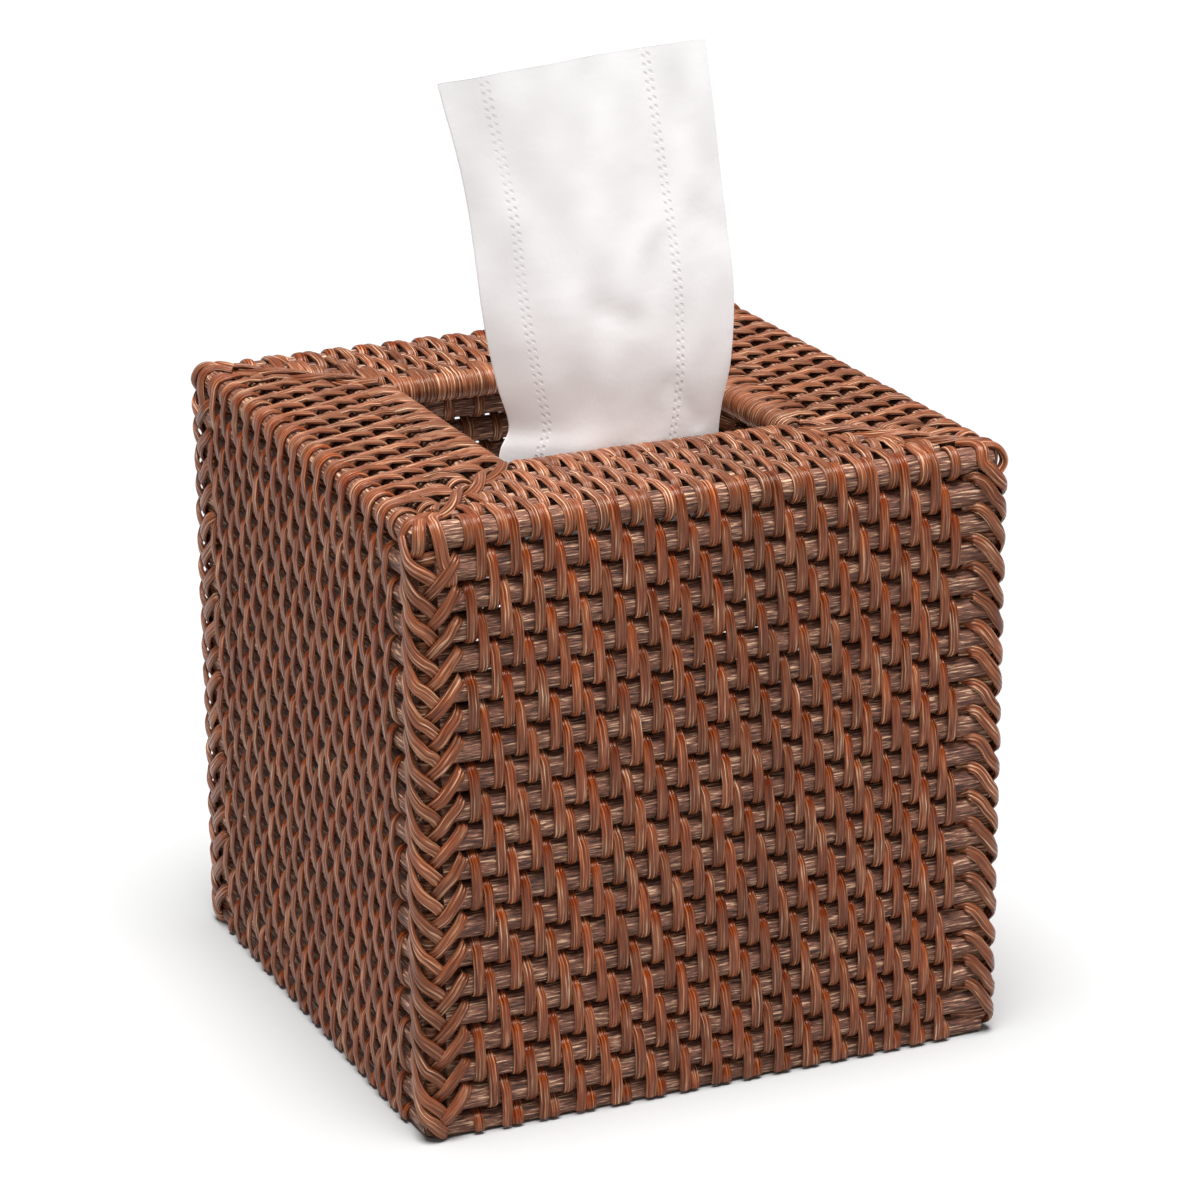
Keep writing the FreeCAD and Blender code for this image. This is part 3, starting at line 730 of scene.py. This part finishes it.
def lash_arm(shape, height, luck, stain):
    loose = luck.uniform(-LOOSE, LOOSE)
    places = []
    for along, rise, depth in shape:
        level = height + (rise + loose + luck.uniform(-ASTRAY, ASTRAY)) * MM
        aside = (along + luck.uniform(-ASTRAY, ASTRAY)) * MM
        inward = (depth + luck.uniform(-IN_OR_OUT, IN_OR_OUT)) * MM
        places.append(corner_spot(aside, max(level, FOOT_CLEAR), inward))
    return strand_through(places, ARM_STEPS, luck.uniform(*ARM_SHARES), stain)


def corner_lashes(luck):
    gaps = [first_row + row_pitch / 2 - row * row_pitch for row in range(WALL_ROWS + 1)]
    arms = []
    for row, gap in enumerate(gaps):
        if row >= 2:  # the first long arm is the end of the mitre lashing
            arms.append(lash_arm(LONG_ARM, gap, luck, LONG_STAIN))
        if row >= 1:
            arms.append(lash_arm(SHORT_ARM, gap, luck, SHORT_STAIN))
        arms += [lash_arm(INNER_RUN, gap + level, luck, HIDDEN_STAIN) for level in INNER_LEVELS]
        arms.append(lash_arm(CORNER_RUN, gap, luck, HIDDEN_STAIN))
    arms.append(lash_arm(LONG_ARM, gaps[-1] - row_pitch + FOOT_ARM_LIFT, luck, FOOT_STAIN))
    return arms


LASHING = {**PEEL_STRIP, "Width": 3.0 * MM, "Thickness": 1.3 * MM, "Squareness": 0.2}
for quarter, corner in enumerate(CORNERS):
    arms = wall_set(corner_lashes(random.Random(LASH_LUCK + quarter)), quarter)
    cover_piece(f"{corner}_lashing", arms, LASH_SEED + quarter, LASHING, "rattan_peel",
                f"{corner}_corner_lashing")

# %% [markdown]
# Along each mitre of the top, two flat strands cross each other slowly from side to side and hide the ends
# of the canes. A sine gives the way to the side and a cosine the way up. The two are half a turn apart, so
# that where they cross, one passes over the other.

# %% The pair along a mitre
TWIST_LENGTH = 27 * MM
TWIST_SWING = 1.5 * MM
STRAND_DIAMETER = 1.5 * MM
TWIST_STEP = 0.5 * MM
TWIST_LIFT = 0.8 * MM
TWIST_LEAN = 0.6  # how far a strand leans over to the side that it is on
TWIST_STAIN = 0.25
twist_low, twist_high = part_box("front_left_mitre_lashing")


def twist_pair():
    outward = np.array((-1.0, -1.0, 0.0)) / math.sqrt(2)
    sideways = np.array((1.0, -1.0, 0.0)) / math.sqrt(2)
    up = np.array((0.0, 0.0, 1.0))
    inner, outer = mouth_axis * math.sqrt(2), -twist_low.x * math.sqrt(2)
    level = (twist_low.z + twist_high.z) / 2 + TWIST_LIFT
    rise = (twist_high.z - twist_low.z - STRAND_DIAMETER) / 2
    strands = []
    for half_turn in (0, math.pi):
        along = np.arange(inner, outer, TWIST_STEP)
        angle = 2 * math.pi * (along - outer) / TWIST_LENGTH + half_turn
        aside = np.outer(np.sin(angle), sideways)
        line = np.outer(along, outward) + aside * TWIST_SWING + np.outer(level + np.cos(angle) * rise, up)
        strands.append((line, up + aside * TWIST_LEAN, 1.0, TWIST_STAIN))
    return strands


print("a mitre pair has", sum(len(strand[0]) for strand in twist_pair()), "points")

# %% [markdown]
# At the corner the pair parts. One tail is led over the edge cane of the front wall and tucked in below it.
# The other goes over the edge cane of the left wall and becomes the first long arm of the corner. A short
# end covers the cut cane between them.

# %% Mitre lashing
MITRE_SEED = 120
TAIL_SHARE, TAIL_STAIN = 1.15, 0.4
TAIL_STEPS, FIRST_ARM_STEPS = 5, 4
TAIL_LIFT = 0.6 * MM
FIRST_ARM_DROP = 0.9  # of a row, from the usual gap
FIRST_ARM_RISE = 0.75  # of a usual arm's rise
# places on the edge cane: angle in degrees, distance past the mitre's end and lift above the cane in mm
TAIL_WRAP = ((100, 1.5, 0.6), (55, 1.8, 0.6), (5, 1.5, 0.6))
STUB_WRAP = ((95, 4.2, 0.6), (50, 5.6, 0.6), (0, 6.2, 0.6), (-40, 6.2, 0.6), (-80, 6, 0.9))
mitre_end = twist_low.x


def edge_wrap(angle, past, lift):
    """A place on the front edge cane. The angle is 90 at the top and 0 at the front."""
    out = np.array((0.0, -math.cos(math.radians(angle)), math.sin(math.radians(angle))))
    centre = np.array((mitre_end - past * MM, -edge_axis, edge_height))
    return np.concatenate([centre + out * (edge_radius + lift * MM), out])


def mitre_tails():
    end = mitre_end
    top = twist_high.z - STRAND_DIAMETER / 2
    front = -(wall_axis + cane_radius + TAIL_LIFT)
    over_edge = [(end + 1 * MM, end, top, 0, 0, 1)] + [edge_wrap(*place) for place in TAIL_WRAP]
    tail = over_edge + [
        (end - 0.3 * MM, front, first_row + 2 * MM, 0, -1, 0), (end + 0.9 * MM, front, first_row, 0, -1, 0),
        (end + 1.6 * MM, front + 1.4 * MM, first_row - 3.2 * MM, 0, -1, -0.6),
        (end + 1.8 * MM, front + 4 * MM, first_row - row_pitch / 2, 0, 0, -1)]
    stub = [(end - 1 * MM, end - 1 * MM, top - 1.2 * MM, 0, 0, 1)]
    stub += [edge_wrap(*place) for place in STUB_WRAP]
    first_arm = [(y, x, z, b, a, c) for x, y, z, a, b, c in over_edge]
    gap = first_row + row_pitch / 2 - row_pitch * FIRST_ARM_DROP
    for along, rise, depth in LONG_ARM[3:]:
        first_arm.append(corner_spot(along * MM, gap + rise * MM * FIRST_ARM_RISE, depth * MM))
    ways = ((tail, TAIL_STEPS), (stub, TAIL_STEPS), (first_arm, FIRST_ARM_STEPS))
    return [strand_through(places, steps, TAIL_SHARE, TAIL_STAIN) for places, steps in ways]


TWIST = {**PEEL_STRIP, "Width": 2.7 * MM, "Thickness": 1.4 * MM, "Wander": 0.15 * MM}
for quarter, corner in enumerate(CORNERS):
    strands = wall_set(twist_pair() + mitre_tails(), quarter)
    cover_piece(f"{corner}_mitre", strands, MITRE_SEED + quarter, TWIST, "rattan_peel",
                f"{corner}_mitre_lashing")

# %% [markdown]
# Two thin plies make a tissue. A wheel presses two lines of small marks into them, which hold the plies
# together. Each line is two columns of short slanting dashes that take turns. They could be modelled as
# dents, but they are far finer than the grid of the sheet, so the material draws them in the sheet's own
# measures, which its mesh carries, as a bump and as painted shade in the pressed dents.

# %% Crimp marks
CRIMP_LINES = (9.5 * MM, 49 * MM)
CRIMP_COLUMN = 0.7 * MM
CRIMP_HALF = 0.52 * MM
CRIMP_CORE = 0.4  # share of a mark's half width that is pressed fully
CRIMP_PITCH = 2.0 * MM
CRIMP_SLANT = 0.5


def crimp_marks(tree):
    """Where the wheel has pressed the sheet: 1 in a mark, 0 elsewhere."""
    across, along = [add(tree, "ShaderNodeAttribute", attribute_name=name).outputs["Fac"]
                     for name in ("sheet_across", "sheet_along")]
    marks = []
    for line in CRIMP_LINES:
        off = add(tree, "ShaderNodeMath", {0: across, 1: line}, operation="SUBTRACT")
        away = add(tree, "ShaderNodeMath", {0: off}, operation="ABSOLUTE")
        beside = add(tree, "ShaderNodeMath", {0: away, 1: CRIMP_COLUMN}, operation="SUBTRACT")
        beside = add(tree, "ShaderNodeMath", {0: beside}, operation="ABSOLUTE")
        inside = add(tree, "ShaderNodeMapRange", {"Value": beside, "From Min": CRIMP_HALF,
                                                  "From Max": CRIMP_HALF * CRIMP_CORE})
        side = add(tree, "ShaderNodeMath", {0: off}, operation="SIGN")
        turns = add(tree, "ShaderNodeMath", {0: side, 1: CRIMP_PITCH / 4, 2: along}, operation="MULTIPLY_ADD")
        slant = add(tree, "ShaderNodeMath", {0: off, 1: CRIMP_SLANT, 2: turns}, operation="MULTIPLY_ADD")
        angle = add(tree, "ShaderNodeMath", {0: slant, 1: 2 * math.pi / CRIMP_PITCH}, operation="MULTIPLY")
        stripes = add(tree, "ShaderNodeMath", {0: angle}, operation="SINE")
        pressed = add(tree, "ShaderNodeMapRange", {"Value": stripes, "From Min": 0.1, "From Max": 0.7})
        marks.append(add(tree, "ShaderNodeMath", {0: inside, 1: pressed}, operation="MULTIPLY"))
    return add(tree, "ShaderNodeMath", dict(enumerate(marks)), operation="MAXIMUM")


print("crimp marks every", CRIMP_PITCH / MM, "mm on", len(CRIMP_LINES), "lines")

# %% [markdown]
# Tissue paper is creped: it is scraped off a drum, which leaves fine wrinkles. Light passes through it, so
# it looks soft and almost shadowless. It gets a high roughness, a fine bump for the crepe, softer dents and
# a faint painted glow that lifts its shade.

# %% Material: creped tissue paper
CREPE_LENGTH = 1.2 * MM
DENT_LENGTH = 16 * MM
CREPE_RELIEF, DENT_RELIEF, CRIMP_RELIEF = 0.1 * MM, 1.2 * MM, 0.3 * MM
CRIMP_PAINTED_SHADE = 0.45


def creped_tissue():
    # a faint glow is painted into the paper, which lifts its shade evenly
    material, tree, shader = blank_material("creped_tissue_paper", {
        "Roughness": 0.9, "IOR": 1.45, "Specular IOR Level": 0.2, "Emission Color": linear("#FFFFFF"),
        "Emission Strength": 0.05})
    spot = add(tree, "ShaderNodeTexCoord").outputs["Object"]
    crepe = add(tree, "ShaderNodeTexNoise", {"Vector": spot, "Scale": 1 / CREPE_LENGTH, "Detail": 3.0})
    dents = add(tree, "ShaderNodeTexNoise", {"Vector": spot, "Scale": 1 / DENT_LENGTH, "Detail": 2.0})
    # the wheel prints unevenly
    uneven = add(tree, "ShaderNodeMapRange", {
        "Value": dents.outputs["Fac"], "From Min": 0.35, "From Max": 0.6, "To Min": 0.25})
    crimp = add(tree, "ShaderNodeMath", {0: crimp_marks(tree), 1: uneven}, operation="MULTIPLY")
    # the pressed marks are painted darker, as painted shade in their dents
    painted_mark_shade = add(tree, "ShaderNodeMath", {0: crimp, 1: CRIMP_PAINTED_SHADE}, operation="MULTIPLY")
    white = add(tree, "ShaderNodeMix", {"Factor": painted_mark_shade, 6: linear("#F2F0F0"), 7: linear("#CFCBCA")},
                data_type="RGBA")
    tree.links.new(white.outputs[2], shader.inputs["Base Color"])
    fine = add(tree, "ShaderNodeBump", {"Height": crepe.outputs["Fac"], "Distance": CREPE_RELIEF,
                                        "Strength": 0.4})
    soft = add(tree, "ShaderNodeBump", {"Height": dents.outputs["Fac"], "Distance": DENT_RELIEF,
                                        "Strength": 0.3, "Normal": fine})
    stamp = add(tree, "ShaderNodeBump", {"Height": crimp, "Distance": CRIMP_RELIEF, "Strength": 0.5,
                                         "Normal": soft}, invert=True)
    tree.links.new(stamp.outputs[0], shader.inputs["Normal"])
    return material


TISSUE = creped_tissue()

# %% [markdown]
# The stack inside is a pile of folded tissues. One leaf is a slab with one round edge, where it is folded.
# It is drawn as an outline in X and Z that is carried along Y.

# %% One folded leaf
LEAVES = 20
LEAF_ROWS = 26
FOLD_POINTS = 9
LEAF_FILL = 0.94  # share of a leaf's room that it fills
LEAF_MARGIN = 1 * MM  # room for a leaf that lies askew
stack_low, stack_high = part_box("tissue_stack")
leaf_pitch = (stack_high.z - stack_low.z) / LEAVES


def folded_leaf():
    """The mesh of one folded tissue, its fold at +X, lying on z = 0."""
    half = (stack_high.x - stack_low.x) / 2 - LEAF_MARGIN
    thick = leaf_pitch * LEAF_FILL
    fold = half - thick / 2
    rim = [(x, 0.0) for x in np.linspace(-half, fold, LEAF_ROWS)]
    for angle in np.linspace(-math.pi / 2, math.pi / 2, FOLD_POINTS)[1:-1]:
        rim.append((fold + math.cos(angle) * thick / 2, thick / 2 + math.sin(angle) * thick / 2))
    rim += [(x, thick) for x in np.linspace(fold, -half, LEAF_ROWS)]
    points = [(x, y, z) for y in np.linspace(-half, half, LEAF_ROWS) for x, z in rim]
    size = len(rim)
    faces = []
    for row in range(LEAF_ROWS - 1):
        for i in range(size):
            a, b = row * size + i, row * size + (i + 1) % size
            faces.append((a, b, b + size, a + size))
    faces.append(tuple(range(size - 1, -1, -1)))
    faces.append(tuple((LEAF_ROWS - 1) * size + i for i in range(size)))
    mesh = bpy.data.meshes.new("folded_leaf")
    mesh.from_pydata(points, [], faces)
    return mesh


print(LEAVES, "leaves,", round(leaf_pitch / MM, 2), "mm each")

# %% [markdown]
# A second small tree stacks copies of the leaf: every other one is turned round, so that the folds lie left
# and right in turn, and each lies a little askew.

# %% Tissue stack
LEAF_ASKEW = math.radians(0.6)
STACK_SEED = 5


def stack_tree():
    tree, given = new_tree("stack_of_leaves", (
        ("Count", "Int"), ("Pitch", "Float"), ("Askew", "Float"), ("Seed", "Int"), ("Material", "Material")))
    step = add(tree, "ShaderNodeCombineXYZ", {"Z": given["Pitch"]})
    places = add(tree, "GeometryNodeMeshLine", {"Count": given["Count"], "Offset": step})
    odd = add(tree, "ShaderNodeMath", {0: add(tree, "GeometryNodeInputIndex"), 1: 2.0}, operation="MODULO")
    half_turn = add(tree, "ShaderNodeMath", {0: odd, 1: math.pi}, operation="MULTIPLY")
    less = add(tree, "ShaderNodeMath", {0: given["Askew"], 1: -1.0}, operation="MULTIPLY")
    askew = add(tree, "FunctionNodeRandomValue", {2: less, 3: given["Askew"], "Seed": given["Seed"]},
                data_type="FLOAT").outputs[1]
    turn = add(tree, "ShaderNodeMath", {0: half_turn, 1: askew}, operation="ADD")
    turn = add(tree, "FunctionNodeEulerToRotation", {0: add(tree, "ShaderNodeCombineXYZ", {"Z": turn})})
    leaves = add(tree, "GeometryNodeInstanceOnPoints", {
        "Points": places, "Instance": given["Geometry"], "Rotation": turn})
    close_tree(tree, leaves, given["Material"])
    return tree


stack = baked("tissue_leaves", folded_leaf(), stack_tree(), {
    "Count": LEAVES, "Pitch": leaf_pitch, "Askew": LEAF_ASKEW, "Seed": STACK_SEED, "Material": TISSUE})
finish_piece(stack, "tissue_pack", "tissue_paper", "tissue_stack")

# %% [markdown]
# The tissue in the mouth is one sheet, folded lengthwise in three, that stands up stiffly from its folds.
# Its foot still lies on the stack, it bends up close behind the front rim and leans back a little above it.
# The sheet is drawn as a grid. A row of the grid goes across it through all three layers, round the two
# folds.

# %% How the sheet is folded
PANEL = 65 * MM
FREE_EDGE = 0.96
PANEL_COLUMNS = 40
PLY_GAP = 0.3 * MM
FOLD_ANGLES = (-60, -30, 0, 30, 60)


def folded_columns():
    """Places across the folded sheet: share of the panel, layer and distance on the flat sheet."""
    places = []
    for panel in range(3):
        for u in np.linspace(0, 1 if panel < 2 else FREE_EDGE, PANEL_COLUMNS):
            places.append((u if panel % 2 == 0 else 1 - u, float(panel), (panel + u) * PANEL))
        if panel < 2:
            for angle in np.radians(FOLD_ANGLES):
                bulge = math.cos(angle) * PLY_GAP / 2 / PANEL
                share = 1 + bulge if panel == 0 else -bulge
                places.append((share, panel + 0.5 + math.sin(angle) / 2, (panel + 1) * PANEL))
    return np.array(places)


columns = folded_columns()
print(len(columns), "columns across three panels of", PANEL / MM, "mm")

# %% [markdown]
# A tissue that was folded and pulled out keeps creases. Each one is a soft valley or ridge along a short
# line on the sheet, so its depth depends only on the distance from that line.

# %% Creases
# from and to (share across, share of the height), width and depth in mm
CREASES = ((0.64, 0.68, 0.59, 0.5, 2.4, 0.4125), (0.59, 0.5, 0.72, 0.57, 2.6, -0.375),
           (0.44, 0.36, 0.56, 0.32, 2.8, 0.45), (0.86, 0.57, 1.0, 0.5, 3.2, 0.45),
           (0.31, 0.82, 0.26, 0.45, 5, 0.375), (0.72, 0.14, 0.88, 0.03, 2.6, 0.375),
           (0.3, 0.1, 0.7, 0.06, 9, 0.75), (0.14, 0.62, 0.1, 0.3, 4, -0.375))


def crease_depth(crease, share, risen, rise):
    """How deep a crease is at one place across the sheet, for all heights."""
    width, depth = crease[4] * MM, crease[5] * MM
    scale = np.array((PANEL, rise))
    start, end = np.array(crease[:2]) * scale, np.array(crease[2:4]) * scale
    spots = np.column_stack([np.full_like(risen, share), risen]) * scale
    along = np.clip((spots - start) @ (end - start) / ((end - start) @ (end - start)), 0, 1)
    off = np.linalg.norm(spots - start - along[:, None] * (end - start), axis=1)
    return depth * np.exp(-(off / width) ** 2)


print(len(CREASES), "creases, the deepest", max(abs(crease[5]) for crease in CREASES), "mm")

# %% [markdown]
# Each station on the sheet's way up gives the height, the distance behind the rim and where its two folds
# are. Low down the left fold curls back, as the mouth gathers the sheet, and one broad wave and six small
# ones run up it. The top edge slants up to the right, as in the photograph.

# %% The grid of the sheet
# stations in mm: height, distance behind the rim, left fold, right fold
STATIONS = ((88.6, 65.5, -32, 31), (88.7, 45, -31.6, 31), (89.2, 26, -30, 28), (96, 15, -29, 26),
            (110, 8, -30, 23), (126, 2.6, -32, 21), (138, 0.9, -32.8, 20.2), (145, 0.4, -32, 20),
            (151, 0.4, -30, 20.8), (162, 0.6, -33, 23.2), (180, 1.2, -36.6, 24), (206, 2.4, -39.6, 21.2),
            (235.6, 3.4, -46.4, 17.8))
STATION_STEPS = 9
STANDING_UP = 30 * MM  # height over which the lying foot turns into the standing sheet
TOP_SLANT, TOP_ROUND = 4.6 * MM, 2.0
BROAD_WAVE, LOW_WAVE = 0.7 * MM, 0.35  # its size, and the share of it that is left at the mouth
BROAD_START, BROAD_ACROSS, BROAD_UP = 0.6, 7.5, 1.5  # radians at the left fold, across the sheet and up it
SMALL_WAVES = 6
WAVE_RANGES = ((1.5, 5.5), (-3, 3), (0, 6.3), (0.08, 0.26))  # waves across, waves up, phase, size in mm
LEFT_CURL, LEFT_SHARE, LEFT_FADE = 8 * MM, 0.42, 0.7
RIGHT_CURL, RIGHT_SHARE = 2.5 * MM, 0.3
SHEET_LUCK = 7
sheet_low, sheet_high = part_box("tissue_sheet")
mouth_level = mouth_high.z


def tissue_grid(luck):
    stations = smooth_line(np.array(STATIONS) * MM, STATION_STEPS)
    height, back, left, right = stations.T
    rise = height[-1] - mouth_level
    risen = np.clip((height - mouth_level) / (sheet_high.z - mouth_level), 0, 1)
    upright = np.clip((height - stations[0, 0]) / STANDING_UP, 0, 1)
    waves = [[luck.uniform(*limits) for limits in WAVE_RANGES] for _ in range(SMALL_WAVES)]
    rows = []
    for share, layer, _ in columns:
        x = left + (right - left) * share
        z = height - TOP_SLANT * max(1 - share, 0) ** TOP_ROUND * risen
        wave = BROAD_WAVE * np.sin(share * BROAD_ACROSS + BROAD_START + BROAD_UP * risen)
        wave = wave * (LOW_WAVE + (1 - LOW_WAVE) * risen)
        for fast, up, phase, size in waves:
            wave = wave + size * MM * np.sin(2 * math.pi * (fast * share + up * risen) + phase) * risen ** 0.5
        for crease in CREASES:
            wave = wave + crease_depth(crease, share, risen, rise)
        from_left = max(LEFT_SHARE - share, 0) / LEFT_SHARE
        from_right = max(share - 1 + RIGHT_SHARE, 0) / RIGHT_SHARE
        curl = LEFT_CURL * from_left ** 2 * (1 - LEFT_FADE * risen) + RIGHT_CURL * from_right ** 2
        depth = layer * PLY_GAP
        y = sheet_low.y + back + (wave + curl) * upright + depth
        rows.append(np.column_stack([x, y, z + (1 - upright) * depth]))
    return np.array(rows)


grid = tissue_grid(random.Random(SHEET_LUCK))
print("grid of", grid.shape[0], "columns and", grid.shape[1], "rows")

# %% [markdown]
# The grid becomes a mesh that carries its own measures: how far across and along the flat sheet each point
# lies, which is where the crimp marks are drawn.

# %% Tissue sheet
row_lengths = np.linalg.norm(np.diff(grid[PANEL_COLUMNS // 2], axis=0), axis=1)


def sheet_mesh():
    across, count, _ = grid.shape
    up = np.concatenate([[0], np.cumsum(row_lengths)])
    faces = []
    for c in range(across - 1):
        for r in range(count - 1):
            a = c * count + r
            faces.append((a, a + count, a + count + 1, a + 1))
    mesh = bpy.data.meshes.new("next_tissue")
    mesh.from_pydata(grid.reshape(-1, 3).tolist(), [], faces)
    measures = {"sheet_across": np.repeat(columns[:, 2], count), "sheet_along": np.tile(up, across)}
    for name, values in measures.items():
        mesh.attributes.new(name, "FLOAT", "POINT").data.foreach_set("value", values)
    return mesh


tissue = bpy.data.objects.new("next_tissue", sheet_mesh())
bpy.context.collection.objects.link(tissue)
tissue.data.materials.append(TISSUE)
tissue.data.shade_smooth()
finish_piece(tissue, "tissue", "tissue_paper", "tissue_sheet")

# %% [markdown]
# The set is a pale table under a light tent. The table is one big matt face, far larger than the picture.
# It is a mid grey that looks nearly white under the lamp, because a paler one would throw too much light
# back on the walls of the cover.

# %% Floor
TABLE_HALF = 4.0

pale_table, _, _ = blank_material("pale_table", {"Base Color": linear("#B6B6B6"), "Roughness": 0.9})
floor_mesh = bpy.data.meshes.new("table")
table_corners = [(x * TABLE_HALF, y * TABLE_HALF, 0) for x, y in ((-1, -1), (1, -1), (1, 1), (-1, 1))]
floor_mesh.from_pydata(table_corners, [], [(0, 1, 2, 3)])
floor = bpy.data.objects.new("table", floor_mesh)
floor.data.materials.append(pale_table)
bpy.context.collection.objects.link(floor)
print("table", 2 * TABLE_HALF, "m wide")

# %% [markdown]
# To the camera the world is white, so floor and background meet without a line. To everything else it is a
# weak fill light. One broad lamp stands above the cover, a little to the front and to the left. It
# brightens the top, shades the walls and makes the soft shadow at the foot.

# %% Light
FILL, WHITE = 0.25, 1.0
LAMP_STRENGTH = 6.4
LAMP_BREADTH = math.radians(34)
LAMP_WAY = Vector((0.06, 0.15, -1.0))  # the way that its light travels

scene = bpy.context.scene
scene.view_settings.view_transform = "Standard"
world = bpy.data.worlds.new("light_tent")
world.use_nodes = True
scene.world = world
sky = world.node_tree.nodes["Background"]
sky.inputs["Color"].default_value = linear("#FFFFFF")
seen = add(world.node_tree, "ShaderNodeLightPath").outputs["Is Camera Ray"]
clear = add(world.node_tree, "ShaderNodeMapRange", {"Value": seen, "To Min": FILL, "To Max": WHITE})
world.node_tree.links.new(clear.outputs[0], sky.inputs["Strength"])

lamp = bpy.data.lights.new("broad_lamp_above", "SUN")
lamp.energy = LAMP_STRENGTH
lamp.angle = LAMP_BREADTH
lamp_holder = bpy.data.objects.new("broad_lamp_above", lamp)
lamp_holder.rotation_euler = LAMP_WAY.to_track_quat("-Z", "Y").to_euler()
bpy.context.collection.objects.link(lamp_holder)
print("lamp", round(math.degrees(LAMP_WAY.angle(Vector((0, 0, -1)))), 1), "degrees off the vertical")

# %% [markdown]
# The camera stands about a metre away, at the left of the front and above the top, with a long lens, so the
# edges of the cover run almost parallel. Its place was found by matching the corners of the cube.

# %% Camera
EYE = (-0.3869, -0.8807, 0.4241)
AZIMUTH, ELEVATION, ROLL = math.radians(-23.9), math.radians(18.8), math.radians(-0.42)
LENS_PIXELS, PICTURE_PIXELS = 4254, 1200
SENSOR_WIDTH = 36.0

camera_data = bpy.data.cameras.new("camera")
camera_data.sensor_width = SENSOR_WIDTH
camera_data.lens = LENS_PIXELS / PICTURE_PIXELS * SENSOR_WIDTH
camera = bpy.data.objects.new("camera", camera_data)
look = Matrix.Rotation(AZIMUTH, 4, "Z") @ Matrix.Rotation(math.pi / 2 - ELEVATION, 4, "X")
camera.matrix_world = Matrix.Translation(EYE) @ look @ Matrix.Rotation(ROLL, 4, "Z")
bpy.context.collection.objects.link(camera)
scene.camera = camera
print("lens", round(camera_data.lens, 1), "mm")
